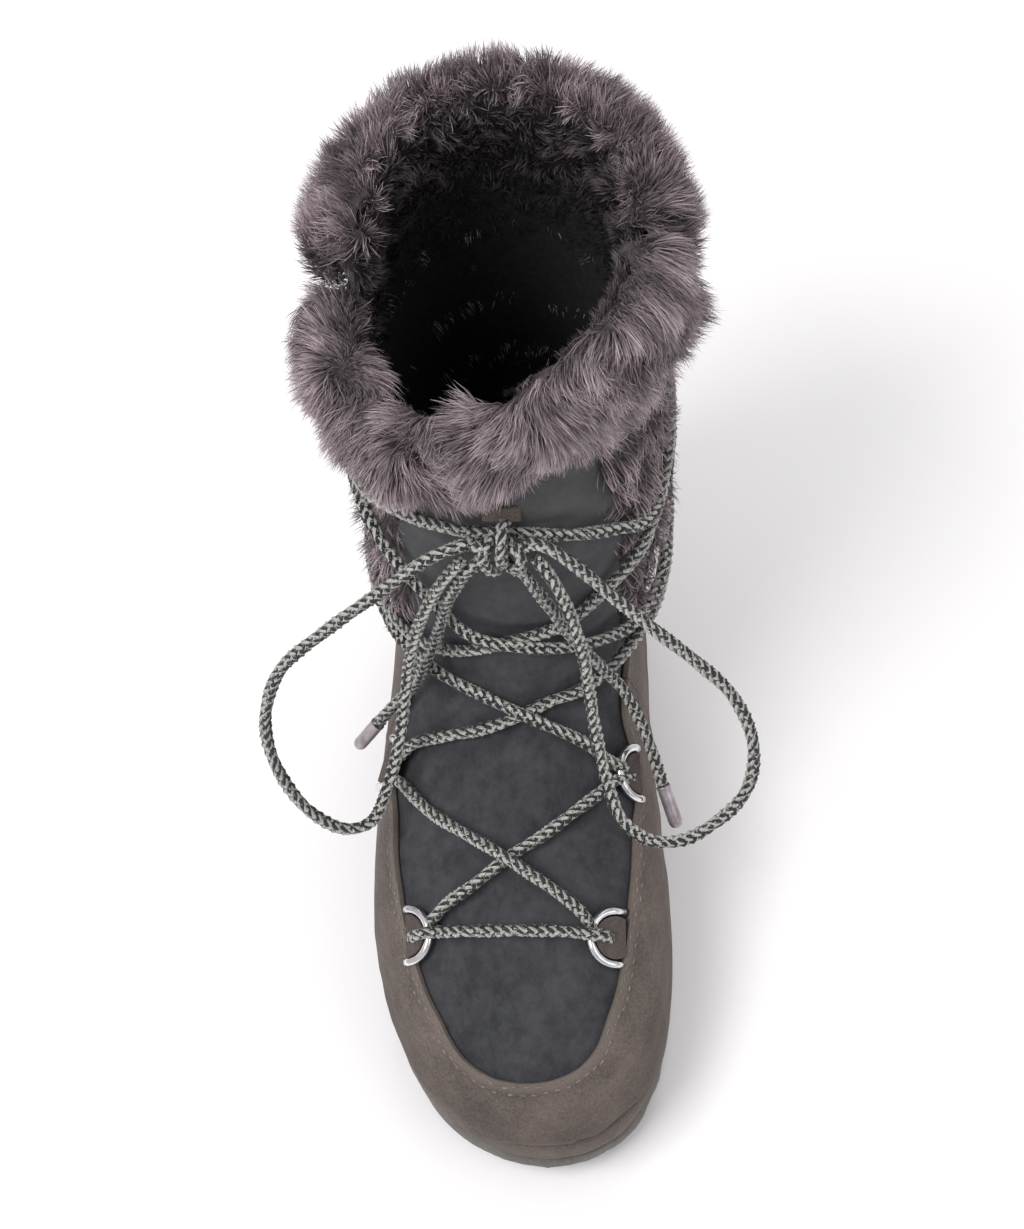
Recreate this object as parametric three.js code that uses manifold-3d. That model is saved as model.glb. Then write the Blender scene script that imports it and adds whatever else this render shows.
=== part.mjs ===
// A snow boot for the right foot, in millimetres. The toe points along -Y, +X is the medial (big toe)
// side and +Z is up. It stands on its sole at Z = 0.
import * as THREE from 'three';
import { mergeVertices } from 'three/addons/utils/BufferGeometryUtils.js';
import Module from 'manifold-3d';

const wasm = await Module();
wasm.setup();

// ---- driving dimensions ----
const FIT_GAP = 0.3; // between pieces that touch
const OUTSOLE_EDGE = 11; // rubber side wall, lugs included
const TREAD_DEPTH = 4;
const WALL = 6; // nubuck and its pile lining
const OVERLAY = 2.6; // suede overlay and its padding
const INSOLE_THICKNESS = 5;
const SHAFT_FUR_DEPTH = 3.6; // where the wraps press it down; free strands stand higher
const FUR_FRONT_EDGE = 16; // where the fur panel begins on each side
const FUR_OVER_COUNTER = 4.2; // the panel's lower edge over the counter's, at its lowest
const FUR_TOP = 211;
const LACE_RADIUS = 2.2;
const LACE_LIFT = 3.1; // the lace's centre over the shell
const FUR_LIFT = 7; // the same where fur lies between
const HEEL_LIFT = 12; // the same low at the back, where the heel stands out behind the shaft
const LACE_SIDES = 6;
const LACE_STEP = 12; // along the lace, between two rings of its solid
const RING_WIRE = 1.2; // radius of the half rings' wire
const RING_BOW = 8.7; // radius of their bow, at the wire's centre
const RING_HALF_TURN = 82; // degrees of the bow to each side of its middle
const RING_SIDES = 6;
const RING_STEP = 3.4;
const RING_BOW_POINTS = 12;
const TAB_RADIUS = 6;
const TAB_THICKNESS = 2;
const TAB_ROOT = 0.6; // from a ring's flat side to where its tab begins
const CORD_SIDES = 8;
const CORD_STEP = 12;
const AGLET = { radius: 2.5, length: 15, sides: 10 };
const KEEPER = { x: 1.7, y: 4.5, z: 186.2, width: 12, thickness: 2, height: 6 };
const KNOT = { x: 1.5, y: 0.4, z: 178, across: 8.8, deep: 4.4, tall: 5.5, around: 12, down: 8 };
const SOLE_POINTS = 48; // round the sole's outline
const RING_POINTS = 24; // round each section of the upper
const WIDE = 90; // half width of the cutting blocks
const REACH = 160; // half length of the cutting blocks
const CEILING = 300; // height of the cutting blocks
const CURVE_STEPS = 14; // along an edge of a cutting block

// The sole's outline from above: where each side lies at each station along the foot.
const TOE_TIP = { x: 12, y: -143 };
const HEEL_TIP = { x: -1, y: 141 };
const OUTLINE = [
  { y: -140, medial: 26, lateral: -3 },
  { y: -131, medial: 39, lateral: -18.5 },
  { y: -115, medial: 47.5, lateral: -32 },
  { y: -92, medial: 52.5, lateral: -43 },
  { y: -66, medial: 53.5, lateral: -49 },
  { y: -38, medial: 51, lateral: -50.5 },
  { y: -8, medial: 46, lateral: -49 },
  { y: 28, medial: 42, lateral: -46 },
  { y: 68, medial: 40.5, lateral: -43.5 },
  { y: 104, medial: 37, lateral: -39.5 },
  { y: 128, medial: 25, lateral: -27 },
];

// Heights along the foot: the tread's underside and the platform's top, where the upper begins.
const SIDE_PROFILE = [
  { y: -150, ground: 6.6, feather: 33 },
  { y: -130, ground: 3.6, feather: 30 },
  { y: -105, ground: 0.9, feather: 28.2 },
  { y: -84, ground: 0, feather: 28 },
  { y: -40, ground: 0, feather: 28 },
  { y: -20, ground: 1.6, feather: 29 },
  { y: 15, ground: 3.4, feather: 32.5 },
  { y: 45, ground: 1.4, feather: 36 },
  { y: 62, ground: 0, feather: 37.5 },
  { y: 118, ground: 0, feather: 38 },
  { y: 150, ground: 1.5, feather: 38 },
];

// Sections of the upper, each in a plane through (y, z) that is tilted from upright (0) to level (90).
// near and far are measured in that plane from (y, z): to the instep or the front of the shaft, and to
// below the feather line or the back of the boot. widest is where the two sides stand furthest apart.
// crown and base are how square the near and far halves are (2 is an ellipse).
const SECTION_COLUMNS = [
  'y', 'z', 'tilt', 'near', 'far', 'widest', 'medial', 'lateral', 'ridge', 'crown', 'base',
];
const SECTIONS = [
  [-139.4, 130, 0, 97.5, 112, 103, 17, 5, 11, 2, 2],
  [-137.8, 130, 0, 94, 118, 102, 24, -3.5, 10.5, 2, 2],
  [-133.2, 130, 0, 89, 122, 101, 32.5, -13.5, 10, 2.05, 2.2],
  [-125, 130, 0, 84, 125, 100, 39.5, -22.5, 9.5, 2.1, 2.4],
  [-112, 130, 0, 75.5, 125, 98, 45.5, -32, 8.5, 2.1, 2.6],
  [-95, 130, 0, 67, 125, 97, 49, -39.5, 6.5, 2.1, 2.6],
  [-73, 130, 0, 58.5, 125, 96, 50.3, -45, 4, 2.1, 2.6],
  [-51, 130, 0, 51.5, 125, 95, 49.2, -47.2, 2.5, 2.15, 2.6],
  [-32, 130, 0, 46, 125, 94, 46.5, -47.2, 2, 2.25, 2.6],
  [-32, 130, 18, 43.5, 131, 97, 43.5, -46, 1.5, 2.4, 2.6],
  [-32, 130, 36, 40, 152, 112, 40.5, -44, 1.5, 2.6, 2.8],
  [-32, 130, 50, 37, 190, 122, 39.5, -42.5, 2, 2.6, 2.5],
  [-32, 130, 58, 35.5, 193, 112, 40, -42.5, 2, 2.6, 2.3],
  [-32, 130, 67, 34.3, 180, 103, 41.5, -43, 2.5, 2.6, 2.15],
  [-32, 130, 78, 33.3, 165.5, 97, 43, -43.5, 2.5, 2.6, 2.1],
  [-32, 130, 90, 33, 157.5, 94, 44.5, -43.5, 2, 2.5, 2.1],
  [-32, 155, 90, 35, 155.5, 94, 45.5, -44, 2, 2.5, 2.15],
  [-32, 185, 90, 38, 156.5, 96, 46, -44.5, 1, 2.5, 2.2],
  [-32, 215, 90, 41, 158, 98, 46.5, -46, 0, 2.4, 2.2],
  [-32, 250, 90, 44, 159, 100, 46.5, -46.5, 0, 2.4, 2.2],
].map((row) => Object.fromEntries(row.map((value, i) => [SECTION_COLUMNS[i], value])));
const TOE_STRETCH_FROM = -100; // an offset form grows forwards ahead of this station

// Upper edge of the suede overlays along the foot, and the top edge of the shell along the shaft.
const OVERLAY_TOP = [
  { y: -160, z: 45 },
  { y: -125, z: 46 },
  { y: -104, z: 53.5 },
  { y: -75, z: 58.5 },
  { y: -45, z: 63 },
  { y: -18, z: 70 },
  { y: 5, z: 80 },
  { y: 24, z: 86 },
  { y: 44, z: 88 },
  { y: 90, z: 89 },
  { y: 160, z: 87 },
];
const OVERLAY_LEAN = 0.045; // the overlays stand this much higher for each mm towards the medial side
const OVERLAY_SPLIT = 6; // the mudguard ends and the counter begins

// The shell's top edge, across the front and along the sides to the back.
const FRONT_EDGE = [
  { x: -WIDE, z: 216 },
  { x: -20, z: 214 },
  { x: -2, z: 217 },
  { x: 12, z: 230 },
  { x: 26, z: 241 },
  { x: WIDE, z: 242 },
];
const BACK_EDGE = [
  { y: 50, z: 230 },
  { y: 80, z: 236 },
  { y: 120, z: 239 },
  { y: 160, z: 239 },
];
const SLIT = 64; // the collar is slit here on both sides

// The folded cuff and the standing collar, a row for each place round the shaft: 0 is medial, 90 the
// front, 180 lateral and 270 the back. crest and hem are heights, depth is the fur's reach outwards.
const CUFF = [
  { angle: 1, crest: 249, hem: 211, depth: 14 },
  { angle: 30, crest: 252, hem: 215, depth: 13 },
  { angle: 60, crest: 249, hem: 215, depth: 11 },
  { angle: 80, crest: 238, hem: 207, depth: 12 },
  { angle: 100, crest: 227, hem: 197, depth: 13 },
  { angle: 125, crest: 224, hem: 196, depth: 14 },
  { angle: 155, crest: 226, hem: 199, depth: 15 },
  { angle: 179, crest: 229, hem: 205, depth: 16 },
];
const COLLAR = [
  { angle: 181, crest: 240, hem: 208, depth: 13 },
  { angle: 210, crest: 244, hem: 211, depth: 12 },
  { angle: 270, crest: 248, hem: 214, depth: 10 },
  { angle: 330, crest: 247, hem: 211, depth: 12 },
  { angle: 359, crest: 246, hem: 208, depth: 14 },
];
// The profile of a fur roll from its hem, over the crest and down inside. rise runs from the hem (0) to
// the crest (1), reach is a share of the depth outwards, or of the wall inwards where it is below zero.
const ROLL_PROFILE = [
  { rise: 0.1, reach: -0.4 },
  { rise: 0.02, reach: 0.25 },
  { rise: 0.05, reach: 0.6 },
  { rise: 0.2, reach: 0.9 },
  { rise: 0.45, reach: 1 },
  { rise: 0.72, reach: 0.9 },
  { rise: 0.92, reach: 0.6 },
  { rise: 1, reach: 0.1 },
  { rise: 0.97, reach: -0.7 },
  { rise: 0.86, reach: -1.2 },
  { rise: 0.72, reach: -1.25 },
];
const ROLL_STEP = 12; // degrees between two profiles round a roll
const ROLL_END_ROOM = 2; // degrees that a roll's ends move out for each mm of growth

// ---- finishes ----
const finish = (color, roughness, metalness = 0) => ({ color, roughness, metalness });
const RUBBER = finish(0x737069, 0.75);
const SUEDE = finish(0x6b615c, 0.95);
const NUBUCK = finish(0x3f4145, 0.95);
const FUR = finish(0x6f6466, 1);
const FELT = finish(0x2f2c30, 1);
const STEEL = finish(0xd8d8da, 0.2, 1);
const TAB_LEATHER = finish(0x54483f, 0.8);
const ROPE = finish(0x8a8780, 0.85);

// ---- small helpers ----
// Smooth value of column `key` at `at` in a table sorted by column `by`, level where the table turns.
function lookUp(table, by, key, at) {
  const last = table.length - 1;
  if (at <= table[0][by]) return table[0][key];
  if (at >= table[last][by]) return table[last][key];
  const i = table.findIndex((row) => row[by] > at) - 1;
  const [a, b] = [table[i], table[i + 1]];
  const width = b[by] - a[by];
  const slope = (j) => {
    const [low, mid, high] = [table[Math.max(j - 1, 0)], table[j], table[Math.min(j + 1, last)]];
    const turns = (high[key] - mid[key]) * (mid[key] - low[key]) <= 0;
    return turns ? 0 : (high[key] - low[key]) / (high[by] - low[by]);
  };
  const t = (at - a[by]) / width;
  const [t2, t3] = [t * t, t * t * t];
  return (2 * t3 - 3 * t2 + 1) * a[key] + (t3 - 2 * t2 + t) * width * slope(i)
    + (3 * t2 - 2 * t3) * b[key] + (t3 - t2) * width * slope(i + 1);
}

const groundAt = (y) => lookUp(SIDE_PROFILE, 'y', 'ground', y);
const featherAt = (y) => lookUp(SIDE_PROFILE, 'y', 'feather', y);

// A closed mesh from rings of equally many points, with a cap on each end.
function loft(rings, cap) {
  const count = rings[0].length;
  const places = rings.flat().flatMap((p) => [p.x, p.y, p.z]);
  const faces = [];
  for (let r = 0; r + 1 < rings.length; r++) {
    for (let i = 0; i < count; i++) {
      const [a, b] = [r * count + i, r * count + ((i + 1) % count)];
      faces.push(a, b, b + count, a, b + count, a + count);
    }
  }
  const top = (rings.length - 1) * count;
  for (const [a, b, c] of cap(count)) {
    faces.push(a, c, b, top + a, top + b, top + c);
  }
  const geometry = new THREE.BufferGeometry();
  geometry.setAttribute('position', new THREE.Float32BufferAttribute(places, 3));
  geometry.setIndex(faces);
  return outward(geometry);
}

// Turns every face round where the mesh would hold a negative volume.
function outward(geometry) {
  const at = geometry.getAttribute('position');
  const index = geometry.getIndex().array;
  const [a, b, c] = [new THREE.Vector3(), new THREE.Vector3(), new THREE.Vector3()];
  let volume = 0;
  for (let i = 0; i < index.length; i += 3) {
    a.fromBufferAttribute(at, index[i]);
    b.fromBufferAttribute(at, index[i + 1]);
    c.fromBufferAttribute(at, index[i + 2]);
    volume += a.dot(b.cross(c));
  }
  if (volume < 0) geometry.setIndex(Array.from(index).reverse());
  return geometry;
}

// Cap of a ring whose points i and count - i face each other across it.
function ladderCap(count) {
  const faces = [];
  for (let i = 0; i < count / 2; i++) {
    const [a, b] = [i, i + 1];
    const [c, d] = [(count - i) % count, count - i - 1];
    if (a !== c) faces.push([a, b, c]);
    if (b !== d) faces.push([b, d, c]);
  }
  return faces;
}

function solid(geometry) {
  const plain = geometry.clone();
  plain.deleteAttribute('normal');
  plain.deleteAttribute('uv');
  const merged = mergeVertices(plain, 1e-4);
  return new wasm.Manifold(new wasm.Mesh({
    numProp: 3,
    vertProperties: merged.getAttribute('position').array,
    triVerts: new Uint32Array(merged.getIndex().array),
  }));
}

function geometryOf(manifold) {
  const mesh = manifold.getMesh();
  const geometry = new THREE.BufferGeometry();
  geometry.setAttribute('position', new THREE.BufferAttribute(mesh.vertProperties, 3));
  geometry.setIndex(new THREE.BufferAttribute(mesh.triVerts, 1));
  return geometry;
}

// A block whose side view is the polygon of [y, z] points, from x = low to x = high.
function sideBlock(points, low = -WIDE, high = WIDE) {
  const shape = new THREE.Shape(points.map(([y, z]) => new THREE.Vector2(y, z)));
  const geometry = new THREE.ExtrudeGeometry(shape, { depth: high - low, bevelEnabled: false });
  const turn = new THREE.Matrix4().makeBasis(
    new THREE.Vector3(0, 1, 0), new THREE.Vector3(0, 0, 1), new THREE.Vector3(1, 0, 0));
  geometry.applyMatrix4(turn.setPosition(low, 0, 0));
  return solid(geometry);
}

// A block whose front view is the polygon of [x, z] points, from y = low to y = high.
function frontBlock(points, low, high) {
  const shape = new THREE.Shape(points.map(([x, z]) => new THREE.Vector2(x, z)));
  const geometry = new THREE.ExtrudeGeometry(shape, { depth: high - low, bevelEnabled: false });
  const turn = new THREE.Matrix4().makeBasis(
    new THREE.Vector3(1, 0, 0), new THREE.Vector3(0, 0, 1), new THREE.Vector3(0, -1, 0));
  geometry.applyMatrix4(turn.setPosition(0, high, 0));
  return solid(geometry);
}

// Points of a side curve from y = from to y = to.
function sideCurve(height, from, to, steps) {
  return Array.from({ length: steps + 1 }, (_, i) => {
    const y = from + (to - from) * i / steps;
    return [y, height(y)];
  });
}

// ---- sole ----
const soleCurve = new THREE.CatmullRomCurve3([
  new THREE.Vector3(TOE_TIP.x, TOE_TIP.y, 0),
  ...OUTLINE.map(({ y, medial }) => new THREE.Vector3(medial, y, 0)),
  new THREE.Vector3(HEEL_TIP.x, HEEL_TIP.y, 0),
  ...OUTLINE.map(({ y, lateral }) => new THREE.Vector3(lateral, y, 0)).reverse(),
], true, 'centripetal');

// The sole's outline moved inwards by `inset`, at the height that `height` gives for each y.
function soleRing(inset, height) {
  return Array.from({ length: SOLE_POINTS }, (_, i) => {
    const along = soleCurve.getPointAt(i / SOLE_POINTS);
    const way = soleCurve.getTangentAt(i / SOLE_POINTS);
    const x = along.x - way.y * inset;
    const y = along.y + way.x * inset;
    return new THREE.Vector3(x, y, height(y));
  });
}

// A slab with the sole's outline. Each level is an inset and a height along the foot.
const soleSlab = (levels) => solid(loft(levels.map(([inset, height]) => soleRing(inset, height)), ladderCap));

function makeOutsole() {
  const body = soleSlab([
    [3, (y) => groundAt(y) + TREAD_DEPTH],
    [1, (y) => groundAt(y) + TREAD_DEPTH],
    [0, (y) => groundAt(y) + TREAD_DEPTH + 1],
    [0, (y) => groundAt(y) + OUTSOLE_EDGE - 1],
    [0.8, (y) => groundAt(y) + OUTSOLE_EDGE],
  ]);
  const treadZone = soleSlab([
    [1.5, (y) => groundAt(y)],
    [1, (y) => groundAt(y) + 1],
    [1, (y) => groundAt(y) + TREAD_DEPTH + 1],
  ]);
  return body.add(treadZone.intersect(treadBars()));
}

// Bars across the tread: zigzags under the ball and the heel, and a border that joins their ends.
const BAR_PITCH = 17;
const BAR_WIDTH = 11;
const ZIGZAG_RISE = 9;
const ZIGZAG_STEPS = 4;
const BAR_REACH = 62;
const BAR_HEIGHT = 40; // more than the tread, which the bars are cut to
const WAIST_BAR = { width: 26, length: 62, x: -2, y: 13 };
function treadBars() {
  const rows = [];
  const zones = [{ from: -136, to: -36 }, { from: 62, to: 130 }];
  for (const { from, to } of zones) {
    for (let y = from; y <= to; y += BAR_PITCH) rows.push(zigzagBar(y));
  }
  const waist = new THREE.BoxGeometry(WAIST_BAR.width, WAIST_BAR.length, BAR_HEIGHT);
  waist.translate(WAIST_BAR.x, WAIST_BAR.y, 0);
  rows.push(solid(waist));
  return rows.reduce((all, bar) => all.add(bar));
}

function zigzagBar(y) {
  const edge = [];
  for (let i = 0; i <= ZIGZAG_STEPS; i++) {
    const x = -BAR_REACH + (2 * BAR_REACH * i) / ZIGZAG_STEPS;
    edge.push(new THREE.Vector2(x, y + (i % 2 ? ZIGZAG_RISE : 0)));
  }
  const back = edge.map((p) => new THREE.Vector2(p.x, p.y + BAR_WIDTH)).reverse();
  const bar = new THREE.ExtrudeGeometry(new THREE.Shape([...edge, ...back]), {
    depth: BAR_HEIGHT,
    bevelEnabled: false,
  });
  bar.translate(0, 0, -BAR_HEIGHT / 4);
  return solid(bar);
}

const makePlatform = () => soleSlab([
  [1, (y) => groundAt(y) + OUTSOLE_EDGE + FIT_GAP],
  [0.2, (y) => groundAt(y) + OUTSOLE_EDGE + 1.5],
  [0, (y) => (groundAt(y) + OUTSOLE_EDGE + featherAt(y)) / 2],
  [0.2, (y) => featherAt(y) - FIT_GAP],
]);

// ---- upper ----
// Rows of the section table, grown outwards by `grow`.
function sectionRows(grow) {
  const rows = SECTIONS.map((row) => ({ ...row }));
  for (const row of rows) {
    const forward = Math.max(0, (TOE_STRETCH_FROM - row.y) / (TOE_STRETCH_FROM - SECTIONS[0].y));
    row.y -= grow * forward;
    row.near -= grow;
    row.far += grow;
    row.medial += grow;
    row.lateral -= grow;
  }
  return rows;
}

// The point of a section at `angle` round it: 0 is medial, 90 the instep, 180 lateral, 270 the heel.
function sectionPoint(row, angle) {
  const [c, s] = [Math.cos(angle), Math.sin(angle)];
  const power = 2 / (s >= 0 ? row.crown : row.base);
  const middle = (row.medial + row.lateral) / 2;
  const half = (row.medial - row.lateral) / 2;
  const across = Math.sign(c) * Math.abs(c) ** power;
  const down = Math.abs(s) ** power;
  const end = s >= 0 ? row.near : row.far;
  const reach = row.widest + (end - row.widest) * down;
  const lean = s >= 0 ? (row.ridge - middle) * down : 0;
  const tilt = THREE.MathUtils.degToRad(row.tilt);
  return new THREE.Vector3(
    middle + half * across + lean,
    row.y + reach * Math.sin(tilt),
    row.z - reach * Math.cos(tilt),
  );
}

// The whole form of the foot and shaft, grown by `grow` and carried on upwards by `overrun`.
const FORM_TOP = 20; // past the last section, over every edge that is cut
const OVERRUN = 6; // a form that is cut away ends this much higher than the one it cuts
function lastForm(grow, overrun = 0) {
  const rows = sectionRows(grow);
  const top = { ...rows[rows.length - 1] };
  top.z += overrun + FORM_TOP;
  rows.push(top);
  const rings = rows.map((row) => Array.from({ length: RING_POINTS }, (_, i) =>
    sectionPoint(row, 2 * Math.PI * (i + 0.5) / RING_POINTS)));
  return solid(loft(rings, pairCap));
}

// Cap of a ring whose points i and count - 1 - i face each other across it.
function pairCap(count) {
  const faces = [];
  for (let i = 0; i + 1 < count / 2; i++) {
    const [a, b, c, d] = [i, i + 1, count - 1 - i, count - 2 - i];
    faces.push([a, b, c], [b, d, c]);
  }
  return faces;
}

// Everything above the feather line and below the shell's top edge.
function shellZone() {
  const across = [-WIDE, -20, -8, -2, 5, 12, 19, 26, WIDE];
  const frontEdge = across.map((x) => [x, lookUp(FRONT_EDGE, 'x', 'z', x)]);
  const front = frontBlock([...frontEdge, [WIDE, 0], [-WIDE, 0]], -REACH, SLIT);
  const back = sideBlock([[SLIT, 0], [REACH, 0],
    ...sideCurve((y) => lookUp(BACK_EDGE, 'y', 'z', y), REACH, SLIT, 6)]);
  const raised = sideBlock([...sideCurve((y) => featherAt(y) + FIT_GAP, -REACH, REACH, CURVE_STEPS),
    [REACH, CEILING], [-REACH, CEILING]]);
  return front.add(back).intersect(raised);
}

const outerForm = lastForm(0);
const liningForm = lastForm(-WALL, OVERRUN);

const makeUpper = () => outerForm.subtract(liningForm).intersect(shellZone());

function makeInsole() {
  const levels = sideBlock([
    ...sideCurve((y) => featherAt(y) + FIT_GAP, -REACH, REACH, CURVE_STEPS),
    ...sideCurve((y) => featherAt(y) + FIT_GAP + INSOLE_THICKNESS, REACH, -REACH, CURVE_STEPS),
  ]);
  return lastForm(-WALL - FIT_GAP, OVERRUN).intersect(levels);
}

// ---- overlays ----
const overlayTopAt = (y) => lookUp(OVERLAY_TOP, 'y', 'z', y);
const overlayShell = () => lastForm(OVERLAY).subtract(lastForm(FIT_GAP, OVERRUN));
// The band between the feather line and the overlays' top edge, which leans with OVERLAY_LEAN.
function overlayZone(from, to) {
  const feather = sideCurve((y) => featherAt(y) + FIT_GAP, from, to, CURVE_STEPS);
  const raised = sideBlock([...feather, [to, CEILING], [from, CEILING]]);
  const under = sideBlock([
    [from, -CEILING],
    [to, -CEILING],
    ...sideCurve(overlayTopAt, to, from, CURVE_STEPS),
  ]);
  return raised.intersect(under.warp((point) => {
    point[2] += OVERLAY_LEAN * point[0];
  }));
}

const makeMudguard = () => overlayShell().intersect(overlayZone(-REACH, OVERLAY_SPLIT));
const makeCounter = () => overlayShell().intersect(overlayZone(OVERLAY_SPLIT + FIT_GAP, REACH));

// ---- fur ----
// The shell, a little thicker all over, which a fur roll is cut back from.
const shellRoom = () => lastForm(FIT_GAP, 2 * OVERRUN).subtract(lastForm(-WALL - FIT_GAP, 3 * OVERRUN))
  .intersect(shellZone().translate(0, 0, FIT_GAP));

// The level section of the shaft at height z, grown outwards by `grow`.
function shaftRow(z, grow) {
  const level = SECTIONS.filter((row) => row.tilt === 90);
  const row = {};
  for (const key of Object.keys(level[0])) row[key] = lookUp(level, 'z', key, z);
  row.z = z;
  row.near -= grow;
  row.far += grow;
  row.medial += grow;
  row.lateral -= grow;
  return row;
}

const shaftPoint = (z, angle, grow) =>
  sectionPoint(shaftRow(z, grow), THREE.MathUtils.degToRad(angle));

// A roll of fur round part of the shaft, from a table of crests, hems and depths, grown by `room`.
function furRoll(table, room = 0) {
  const from = table[0].angle - room * ROLL_END_ROOM;
  const to = table[table.length - 1].angle + room * ROLL_END_ROOM;
  const steps = Math.ceil((to - from) / ROLL_STEP);
  const rings = Array.from({ length: steps + 1 }, (_, i) => {
    const angle = from + (to - from) * i / steps;
    const [crest, hem, depth] = ['crest', 'hem', 'depth'].map((key) => lookUp(table, 'angle', key, angle));
    const [low, high, out] = [hem - room, crest + room, depth + room];
    return ROLL_PROFILE.map(({ rise, reach }) => {
      const grow = reach > 0 ? reach * out : reach * WALL;
      return shaftPoint(low + (high - low) * rise, angle, grow);
    });
  });
  return solid(loft(rings, fanCap));
}

// Cap of a convex ring, fanned out from its first point.
const fanCap = (count) => Array.from({ length: count - 2 }, (_, i) => [0, i + 1, i + 2]);

function makeShaftFur() {
  const shell = lastForm(SHAFT_FUR_DEPTH).subtract(lastForm(FIT_GAP, OVERRUN));
  const panel = shell.intersect(sideBlock([
    ...sideCurve((y) => overlayTopAt(y) + FUR_OVER_COUNTER, FUR_FRONT_EDGE, REACH, 8),
    [REACH, FUR_TOP],
    [FUR_FRONT_EDGE, FUR_TOP],
  ]));
  return panel.subtract(furRoll(CUFF, FIT_GAP)).subtract(furRoll(COLLAR, FIT_GAP));
}

// ---- lace ----
// Round the shaft the lace is given by its place round it, its height and its lift over the shell.
const onShaft = (rows) => rows.map(([angle, z, lift = LACE_LIFT]) => shaftPoint(z, angle, lift));
const onFoot = (rows) => rows.map(([x, y, z]) => new THREE.Vector3(x, y, z));

const LACE_BAR = onFoot([
  [-22.5, -80.9, 66.3], [-13, -81.9, 69.2], [2.5, -82.4, 71.2], [15, -82.2, 70.7], [23, -82, 69],
]);
const CROSS_OVER = onFoot([
  [-37.5, -30, 72.8], [-27.5, -42.5, 77.7], [-15, -52.3, 81.2], [-3, -60.2, 82.5],
  [7.5, -66.2, 79.3], [17, -71.5, 75.4], [22.5, -75.2, 73.2],
]);
const CROSS_UNDER = onFoot([
  [34, -31.5, 78.6], [30, -36, 79.8], [21, -44.6, 81.4], [11, -53, 81.1], [0.5, -59.4, 79],
  [-12, -68.3, 74.8], [-20.5, -73.3, 71.3],
]);
// Each from a high half ring across the instep, twice round the shaft and up to the knot.
const WRAP_FROM_LATERAL = [
  ...onFoot([
    [-33.5, -18.5, 79.8], [-21.6, -19.3, 87], [-11.9, -19.5, 90.8], [-2.8, -17.8, 93.3], [5.4, -15.1, 95.6],
    [13, -11.8, 97.4], [21.2, -8.4, 97.2], [29, -3, 97.6],
  ]),
  ...onShaft([
    [42, 99, FUR_LIFT], [22, 99, FUR_LIFT], [0, 100, FUR_LIFT], [-30, 104, 9], [-60, 107, HEEL_LIFT],
    [-90, 109, HEEL_LIFT], [-120, 109, HEEL_LIFT], [-150, 108, 9], [-180, 106, FUR_LIFT],
    [-205, 104, FUR_LIFT], [-225, 103.5, 5], [-240, 107.5, 4.8], [-256, 114, 4.8], [-270, 121, 3.6],
    [-286, 128, 3.4], [-304, 136], [-320, 146, 6.4], [-335, 157, FUR_LIFT], [-360, 162, FUR_LIFT],
    [-390, 167, FUR_LIFT], [-420, 171, FUR_LIFT], [-450, 174, FUR_LIFT], [-480, 176, FUR_LIFT],
    [-510, 177, FUR_LIFT], [-540, 178.5, FUR_LIFT], [-563, 179, 7.6], [-582, 178.5, 6.8],
    [-602, 177.5], [-621, 178],
  ]),
];
const WRAP_FROM_MEDIAL = [
  ...onFoot([[31.5, -25.5, 82.8], [24, -22.5, 88.8], [5, -17.3, 97.2], [-10, -11, 100.3], [-25, -2, 100.5]]),
  ...onShaft([
    [136, 99, FUR_LIFT], [158, 98, FUR_LIFT], [180, 98, FUR_LIFT], [210, 98.5, 9.5],
    [240, 99.5, HEEL_LIFT], [270, 100.5, HEEL_LIFT], [300, 102, HEEL_LIFT], [330, 104, 9.5],
    [360, 106, FUR_LIFT], [384, 106, FUR_LIFT], [403, 106.5, 5.8], [414, 109.5, 5], [430, 115.5, 5.4],
    [446, 121.5, 6.8], [460, 125.5, 6], [472, 132, 4], [484, 144, 5], [497, 156, FUR_LIFT],
    [516, 162, FUR_LIFT], [540, 163, FUR_LIFT], [570, 162, FUR_LIFT], [600, 161, FUR_LIFT],
    [630, 160, FUR_LIFT], [660, 158, FUR_LIFT], [690, 156, FUR_LIFT], [720, 154, FUR_LIFT],
    [743, 155.5, FUR_LIFT], [758, 160, 7], [770, 165.5, 4.4], [782, 170], [793, 174], [802, 177],
  ]),
];

// The bow's loops and ends, from the knot outwards.
const LOOP_LATERAL = onFoot([
  [-7.4, -3, 180.5], [-11, -4.5, 181], [-19.5, -6.5, 178], [-34.5, -10.5, 166.5], [-57, -16.5, 148],
  [-70.5, -21, 135], [-76.5, -27, 122], [-77.5, -33.5, 111], [-73.5, -41.5, 99.5], [-65, -48.5, 88.5],
  [-54, -51, 81], [-45.5, -47, 79.5], [-41, -36.5, 83], [-37, -26.5, 92.5], [-33.5, -14, 110],
  [-30, -8.5, 128], [-25, -6.5, 145], [-17, -5.5, 164], [-11, -5, 173.5],
]);
const LOOP_MEDIAL = onFoot([
  [10.4, -3.6, 181.5], [15, -5, 181.5], [21.5, -7, 177.5], [34, -12, 166], [46.5, -19, 158],
  [60, -24, 146], [71.5, -29, 134], [78, -36.5, 122], [79, -43, 112], [76, -48.5, 102], [67.5, -53, 92],
  [56.5, -56, 84.5], [45, -54, 81], [36.5, -49, 86.5], [32, -39.5, 94], [29, -30, 105], [27, -23, 121],
  [25, -17, 140], [20, -11, 160], [15.5, -8, 171], [11.8, -5.5, 175.5],
]);
const END_LATERAL = onFoot([
  [-4.5, -4.2, 173.5], [-8, -5, 169.5], [-12.5, -5, 161.5], [-17.5, -4.2, 147.5], [-23, -3.3, 124],
  [-28.6, -4.2, 107], [-34, -3.5, 91], [-41.5, -4.5, 80], [-47, -6, 71.5],
]);
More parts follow.
